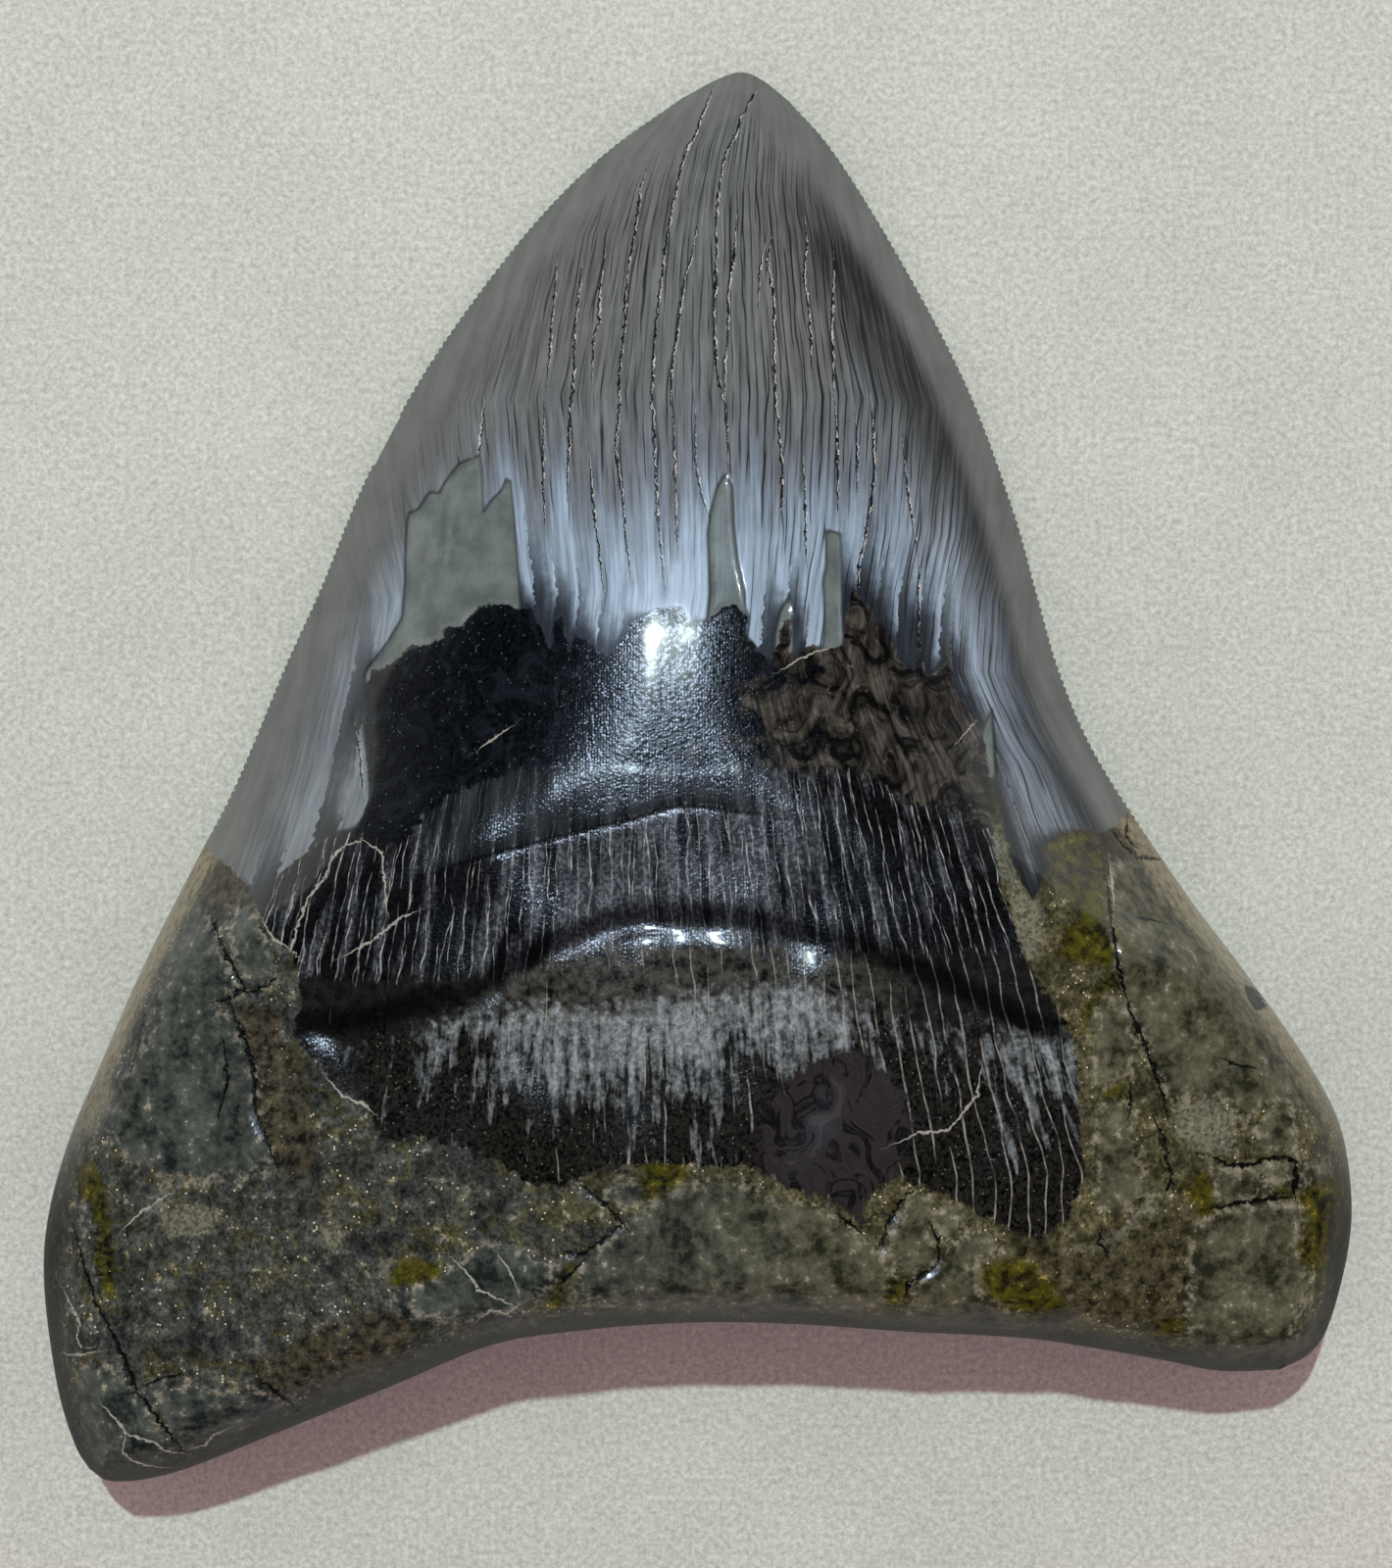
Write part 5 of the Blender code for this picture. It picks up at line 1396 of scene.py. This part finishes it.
def root_skin(add, at, colours, finish):
    """Painted shade on the flank along the foot of the root, dull and dark, and thin tan skin on its flanks.
    """
    # painted shade: the flank at the foot of the root faces away from the light, so it is darkened here
    base = add("MapRange", at["along"], -30.0, -44.0, 0.0, 1.0, **SMOOTH)
    base = scaled(add, base, (at["rim"], 5.0, 1.0, 0.0, 0.8), **SMOOTH)
    finish = lay_over(add, base, finish, ("#15140e", FOOT_ROUGH))
    flank = add("MapRange", ragged(add, at, "rim", 0.8), 3.0, 1.4, 0.0, 1.0, **SMOOTH)
    flank = scaled(add, flank, (at["along"], -38.0, -24.0, 0.0, 0.85), **SMOOTH)
    flank = scaled(add, flank, (at["speck"], 0.38, 0.56, 0.35, 1.0))
    return lay_over(add, flank, finish, (colours["flank_tan"], STONE_ROUGH))


def root_finish(add, at, colours):
    """The root: grains, plates and amber-coloured calcite, with a skin on its flanks, open cracks, and
    painted shade in the flank's notch.
    """
    edges = {name: ragged(add, at, name, 1.0) for name in ("plate", "amber", "brown", "pale")}
    finish = root_ground(add, at, colours, edges)
    finish = root_patches(add, at, colours, edges, finish)
    finish = root_skin(add, at, colours, finish)
    crack = line_at(add, moved(add, at["root_crack"], at["grit"], 2.5, WIDE_NOISE), 0.8, 1.8)
    # painted shade: the deep notch in the right flank is painted as dark as the cracks
    crack = add("Math", crack, add("MapRange", at["pit"], -0.1, 0.15, 0.0, 1.0), operation="MAXIMUM")
    return lay_over(add, crack, finish, ("#090806", CRACK_ROUGH))


def tooth_finish(add, at, colours):
    """The root, and over it the neck, the swirled agate, the pale veins and the enamel."""
    finish = root_finish(add, at, colours)
    share = add("MapRange", ragged(add, at, "neck", 0.9), -0.15, 0.15, 0.0, 1.0)
    finish = lay_over(add, share, finish, neck_finish(add, at))
    share = add("MapRange", ragged(add, at, "swirl", 1.2), -0.3, 0.3, 0.0, 1.0)
    finish = lay_over(add, share, finish, swirl_finish(add, at))
    vein = line_at(add, moved(add, at["pale_vein"], at["grit"], 2.5, WIDE_NOISE), 0.7, 1.7)
    finish = lay_over(add, vein, finish, ("#a0a294", VEIN_ROUGH))
    enamel = enamel_finish(add, at, colours)
    share = add("MapRange", at["flake"], -0.1, 0.1, 0.0, 1.0)
    enamel = lay_over(add, share, enamel, flaked_finish(add, at))
    enamel = lay_over(add, line_at(add, at["flake"], 0.06, 0.22, 0.7), enamel, ("#272a28", ENAMEL_ROUGH))
    share = add("MapRange", ragged(add, at, "enamel", 0.5), -0.08, 0.08, 0.0, 1.0)
    return lay_over(add, share, finish, enamel)


def read_surface(add):
    """What the finishes read, by name: the borders kept on the mesh, and the noises and grains over it."""
    at = {name: add("Attribute", out=2, attribute_name=name) for name in BORDER_NAMES}
    at["strand_map"] = add("UVMap", uv_map=STRAND_MAP)
    flat = add("UVMap", uv_map=SKIN_MAP)
    for name, (size, detail, rough) in SKIN_NOISE.items():
        at[name] = add("TexNoise", flat, 1.0 / size, detail, rough, **FLAT_NOISE)
    at["fleck"] = add("MapRange", at["speck"], 0.63, 0.67, 0.0, 0.85)
    at["fleck"] = scaled(add, at["fleck"], (at["mottle"], 0.46, 0.56, 0.1, 1.0))
    at["wobble"] = add("MapRange", at["wobble"], 0.25, 0.75, -0.5, 0.5)
    at["wave"] = add("TexNoise", flat, 1.0 / WAVE_SIZE, 6.0, 0.65, named={"Distortion": 1.3}, **FLAT_NOISE)
    at["band"] = add("Math", add("Math", at["wave"], 30.0, **TIMES), operation="SINE")
    for name, kind in STREAKS.items():
        at[name] = streaks(add, at, *kind)
    at["grain_far"], chance = add("TexVoronoi", flat, 1.0 / GRAIN_SIZE, out=slice(0, 2), **FLAT_CELLS)
    at["grain_a"], at["grain_b"] = add("SeparateColor", chance, out=slice(0, 2))
    # painted glints: a few cells of a finer grid, painted bright in the colour as sparkles of light
    far, chance = add("TexVoronoi", flat, 1.0 / GLINT_SIZE, out=slice(0, 2), **FLAT_CELLS)
    chance = add("SeparateColor", chance)
    glint = add("MapRange", chance, 1.0 - GLINT_SHARE, 1.0 - 0.7 * GLINT_SHARE, 0.0, 1.0)
    at["glint"] = scaled(add, glint, (far, 0.5, 0.25, 0.0, 1.0))
    return at


def surface_normal(add, at):
    """Facets of the crystal grains, and the finest growth strands of the enamel."""
    slope = add("Math", at["grain_a"], 2.0 * GRAIN_TILT * GRAIN_SIZE, -GRAIN_TILT * GRAIN_SIZE, **TIMES_PLUS)
    facets = add("Math", add("Math", at["grain_far"], slope, **TIMES), at["grainy"], **TIMES)
    height = add("Math", at["fibre"], FIBRE_HEIGHT, facets, **TIMES_PLUS)
    return add("Bump", named={"Strength": 1.0, "Distance": MILLIMETRE, "Height": height})


def tooth_material(colours):
    """Polished fossil tooth: dark stone with a clear, even gloss over grains, cracks and painted glints
    inside it.

    The gloss fades towards the rim, where the polish stops."""
    material = bpy.data.materials.new("polished_fossil_stone")
    add = empty_nodes(material)
    at = read_surface(add)
    normal = surface_normal(add, at)
    colour, roughness = tooth_finish(add, at, colours)
    coat = add("MapRange", at["rim"], 4.0, 11.0, 0.0, 1.0, **SMOOTH)
    shader = add("BsdfPrincipled", named={
        "Base Color": colour, "Roughness": roughness, "Normal": normal, "IOR": 1.55,
        "Specular IOR Level": 0.24, "Specular Tint": "#dde3ff", "Coat Weight": coat, "Coat Roughness": 0.08,
        "Coat IOR": 1.5,
    })
    add("OutputMaterial", shader, out=slice(0, 0))
    return material


def floor_material(colours):
    """Honed ceramic tile: pale and matt, with a fine speckle that is only just seen.

    Far out, where the main light fades, it is painted a little paler and greener, to make up for the missing
    light."""
    material = bpy.data.materials.new("honed_pale_tile")
    add = empty_nodes(material)
    spot = add("TexCoord", out=3)
    place = add("Mapping", spot, None, None, (1.0 / MILLIMETRE,) * 3)
    speckle = add("MapRange", add("TexNoise", place, 1.0 / SPECKLE_SIZE, 4.0, 0.75), 0.25, 0.75, 0.62, 1.36)
    drift = add("MapRange", add("TexNoise", place, 1.0 / DRIFT_SIZE, 5.0, 0.65), *NOISE, 0.95, 1.05)
    shade = add("Math", speckle, drift, **TIMES)
    far = add("VectorMath", spot, operation="LENGTH")
    far = add("MapRange", far, FAR_STARTS, FAR_FULL, 0.0, 1.0, **SMOOTH)
    colour = add("Mix", far, colours["floor"], "#d3e8d9", **IN_COLOUR)
    colour = add("Mix", shade, BLACK, colour, **SHADED)
    shader = add("BsdfPrincipled", named={"Base Color": colour, "Roughness": 0.6, "Specular IOR Level": 0.2})
    add("OutputMaterial", shader, out=slice(0, 0))
    return material


def add_light(name, place, target, size, power, colour):
    """A soft round studio light at this place, turned towards the target."""
    bpy.ops.object.light_add(type="AREA", location=place)
    light = bpy.context.object
    light.name = name
    light.data.shape = "DISK"
    light.data.size = size
    light.data.energy = power
    light.data.color = colour
    aim = Vector(target) - Vector(place)
    light.rotation_euler = aim.to_track_quat("-Z", "Y").to_euler()


def studio_air(strength):
    """Even, faintly pink light from all round. What the gloss reflects of it is darker: low grey walls."""
    world = bpy.data.worlds.new("studio_air")
    add = empty_nodes(world)
    world.cycles.sampling_method = "NONE"
    ahead, up = add("SeparateXYZ", add("TexCoord", out=0), out=slice(1, 3))
    wall = add("MapRange", up, 0.45, 0.05, 0.0, 1.0, **SMOOTH)
    wall = scaled(add, wall, (ahead, -0.6, 0.3, 0.15, 1.0), **SMOOTH)
    reflected = add("Mix", wall, "#101011", "#636567", **IN_COLOUR)
    colour = add("Mix", add("LightPath", out=3), "#ffd6e2", reflected, **IN_COLOUR)
    colour = add("Mix", add("LightPath", out=0), colour, "#e6e6df", **IN_COLOUR)
    add("OutputWorld", add("Background", colour, strength), out=slice(0, 0))
    return world


def hex_colour(name, description, code):
    """A colour that the user can change."""
    return bpy.props.FloatVectorProperty(
        name=name, description=description, subtype="COLOR", size=4, min=0.0, max=1.0, default=linear(code))


def length(name, description, value):
    """A length that the user can change, in metres."""
    return bpy.props.FloatProperty(
        name=name, description=description, default=value, min=0.0, precision=5, unit="LENGTH")


class FossilSizes(bpy.types.PropertyGroup):
    """Sizes of the tooth's fine relief, in metres."""
    serration_pitch: length("Serration Pitch", "Distance between two serrations of the cutting edge", 0.00072)
    serration_depth: length("Serration Depth", "How deep the valleys between the serrations are", 0.0002)
    flake_depth: length("Flake Depth", "How far a flaked place lies below the enamel", 0.00022)
    crack_depth: length("Crack Depth", "Depth of the grooves along the enamel's cracks", 0.00012)


class FossilColours(bpy.types.PropertyGroup):
    """Main colours of the fossil stone and of the floor under it."""
    enamel_rim: hex_colour("Enamel Rim", "Enamel along the cutting edges", "#6b706b")
    enamel_core: hex_colour("Enamel Core", "Enamel in the middle of the crown", "#6b706d")
    enamel_haze: hex_colour("Enamel Haze", "Blue-white haze in the enamel near the root", "#96acbb")
    grain_left: hex_colour("Left Grain", "Root stone on the left lobe", "#434842")
    grain_right: hex_colour("Right Grain", "Root stone on the right lobe", "#525138")
    amber: hex_colour("Amber", "Calcite between the plates of the root", "#565612")
    flank_tan: hex_colour("Flank Tan", "Thin tan skin on the root's flanks", "#918a6c")
    floor: hex_colour("Floor", "Tile under the tooth", "#c6cbbe")


class FossilStage(bpy.types.PropertyGroup):
    """Camera height and light of the studio stage."""
    camera_height: length("Camera Height", "Height of the camera above the floor", 0.3)
    key_power: bpy.props.FloatProperty(
        name="Key Light", description="Power of the main light", default=16.7, min=0.0, unit="POWER")
    fill_strength: bpy.props.FloatProperty(
        name="Fill Light", description="Strength of the even light from all round", default=0.52, min=0.0)


def colour_values(scene):
    """The colours as plain values, by name."""
    group = scene.fossil_colours
    return {name: tuple(getattr(group, name)) for name in FossilColours.__annotations__}


class FOSSIL_OT_add_tooth(bpy.types.Operator):
    """Adds the polished tooth over its solid"""
    bl_idname = "fossil.add_tooth"
    bl_label = "Polished Tooth"

    def execute(self, context):
        tooth = tooth_object(context.scene.fossil_sizes)
        tooth.data.materials.append(tooth_material(colour_values(context.scene)))
        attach(tooth, BODY_NAME)
        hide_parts(SOLID_NAME)
        return {"FINISHED"}


class FOSSIL_OT_add_stage(bpy.types.Operator):
    """Adds the pale floor, the camera straight above it and the studio lights"""
    bl_idname = "fossil.add_stage"
    bl_label = "Studio Stage"

    def execute(self, context):
        scene = context.scene
        settings = scene.fossil_stage
        bpy.ops.object.select_all(action="DESELECT")
        bpy.ops.mesh.primitive_plane_add(size=FLOOR_SIZE, location=(0.0, 0.0, FLOOR_HEIGHT))
        floor = context.object
        floor.name = "studio_floor"
        bpy.ops.object.transform_apply(location=True, rotation=True, scale=True)
        floor.data.materials.append(floor_material(colour_values(scene)))
        bpy.ops.object.camera_add(location=(*CAMERA_PLACE, settings.camera_height), rotation=(0.0, 0.0, 0.0))
        camera = context.object
        camera.data.sensor_fit = "AUTO"
        camera.data.sensor_width = SENSOR_HEIGHT
        camera.data.lens = CAMERA_LENS
        camera.data.clip_start = 0.01
        scene.camera = camera
        add_light("key_light", KEY_PLACE, KEY_TARGET, KEY_SIZE, settings.key_power, KEY_COLOUR)
        scene.world = studio_air(settings.fill_strength)
        scene.view_settings.view_transform = "Standard"
        scene.view_settings.look = "None"
        return {"FINISHED"}


class FOSSIL_PT_panel(bpy.types.Panel):
    """Lists the pieces of the tooth and the stage, with their sizes and colours."""
    bl_label = "Fossil Tooth"
    bl_idname = "FOSSIL_PT_panel"
    bl_space_type = "VIEW_3D"
    bl_region_type = "UI"
    bl_category = "Fossil Tooth"

    def draw(self, context):
        layout = self.layout
        scene = context.scene
        parts = {FOSSIL_OT_add_tooth: scene.fossil_sizes, FOSSIL_OT_add_stage: scene.fossil_stage}
        for operator, group in parts.items():
            layout.operator(operator.bl_idname)
            for name in type(group).__annotations__:
                layout.prop(group, name)
        for name in FossilColours.__annotations__:
            layout.prop(scene.fossil_colours, name)


CLASSES = (FossilSizes, FossilColours, FossilStage, FOSSIL_OT_add_tooth, FOSSIL_OT_add_stage, FOSSIL_PT_panel)
GROUPS = {"fossil_sizes": FossilSizes, "fossil_colours": FossilColours, "fossil_stage": FossilStage}


def register():
    """Makes the operators, the panel and the settings known to Blender."""
    for one in CLASSES:
        bpy.utils.register_class(one)
    for name, group in GROUPS.items():
        setattr(bpy.types.Scene, name, bpy.props.PointerProperty(type=group))


def unregister():
    """Takes them all out again."""
    for name in GROUPS:
        delattr(bpy.types.Scene, name)
    for one in reversed(CLASSES):
        bpy.utils.unregister_class(one)


def main():
    """Adds the tooth and its stage."""
    register()
    bpy.ops.fossil.add_tooth()
    bpy.ops.fossil.add_stage()


if __name__ == "__main__":
    main()
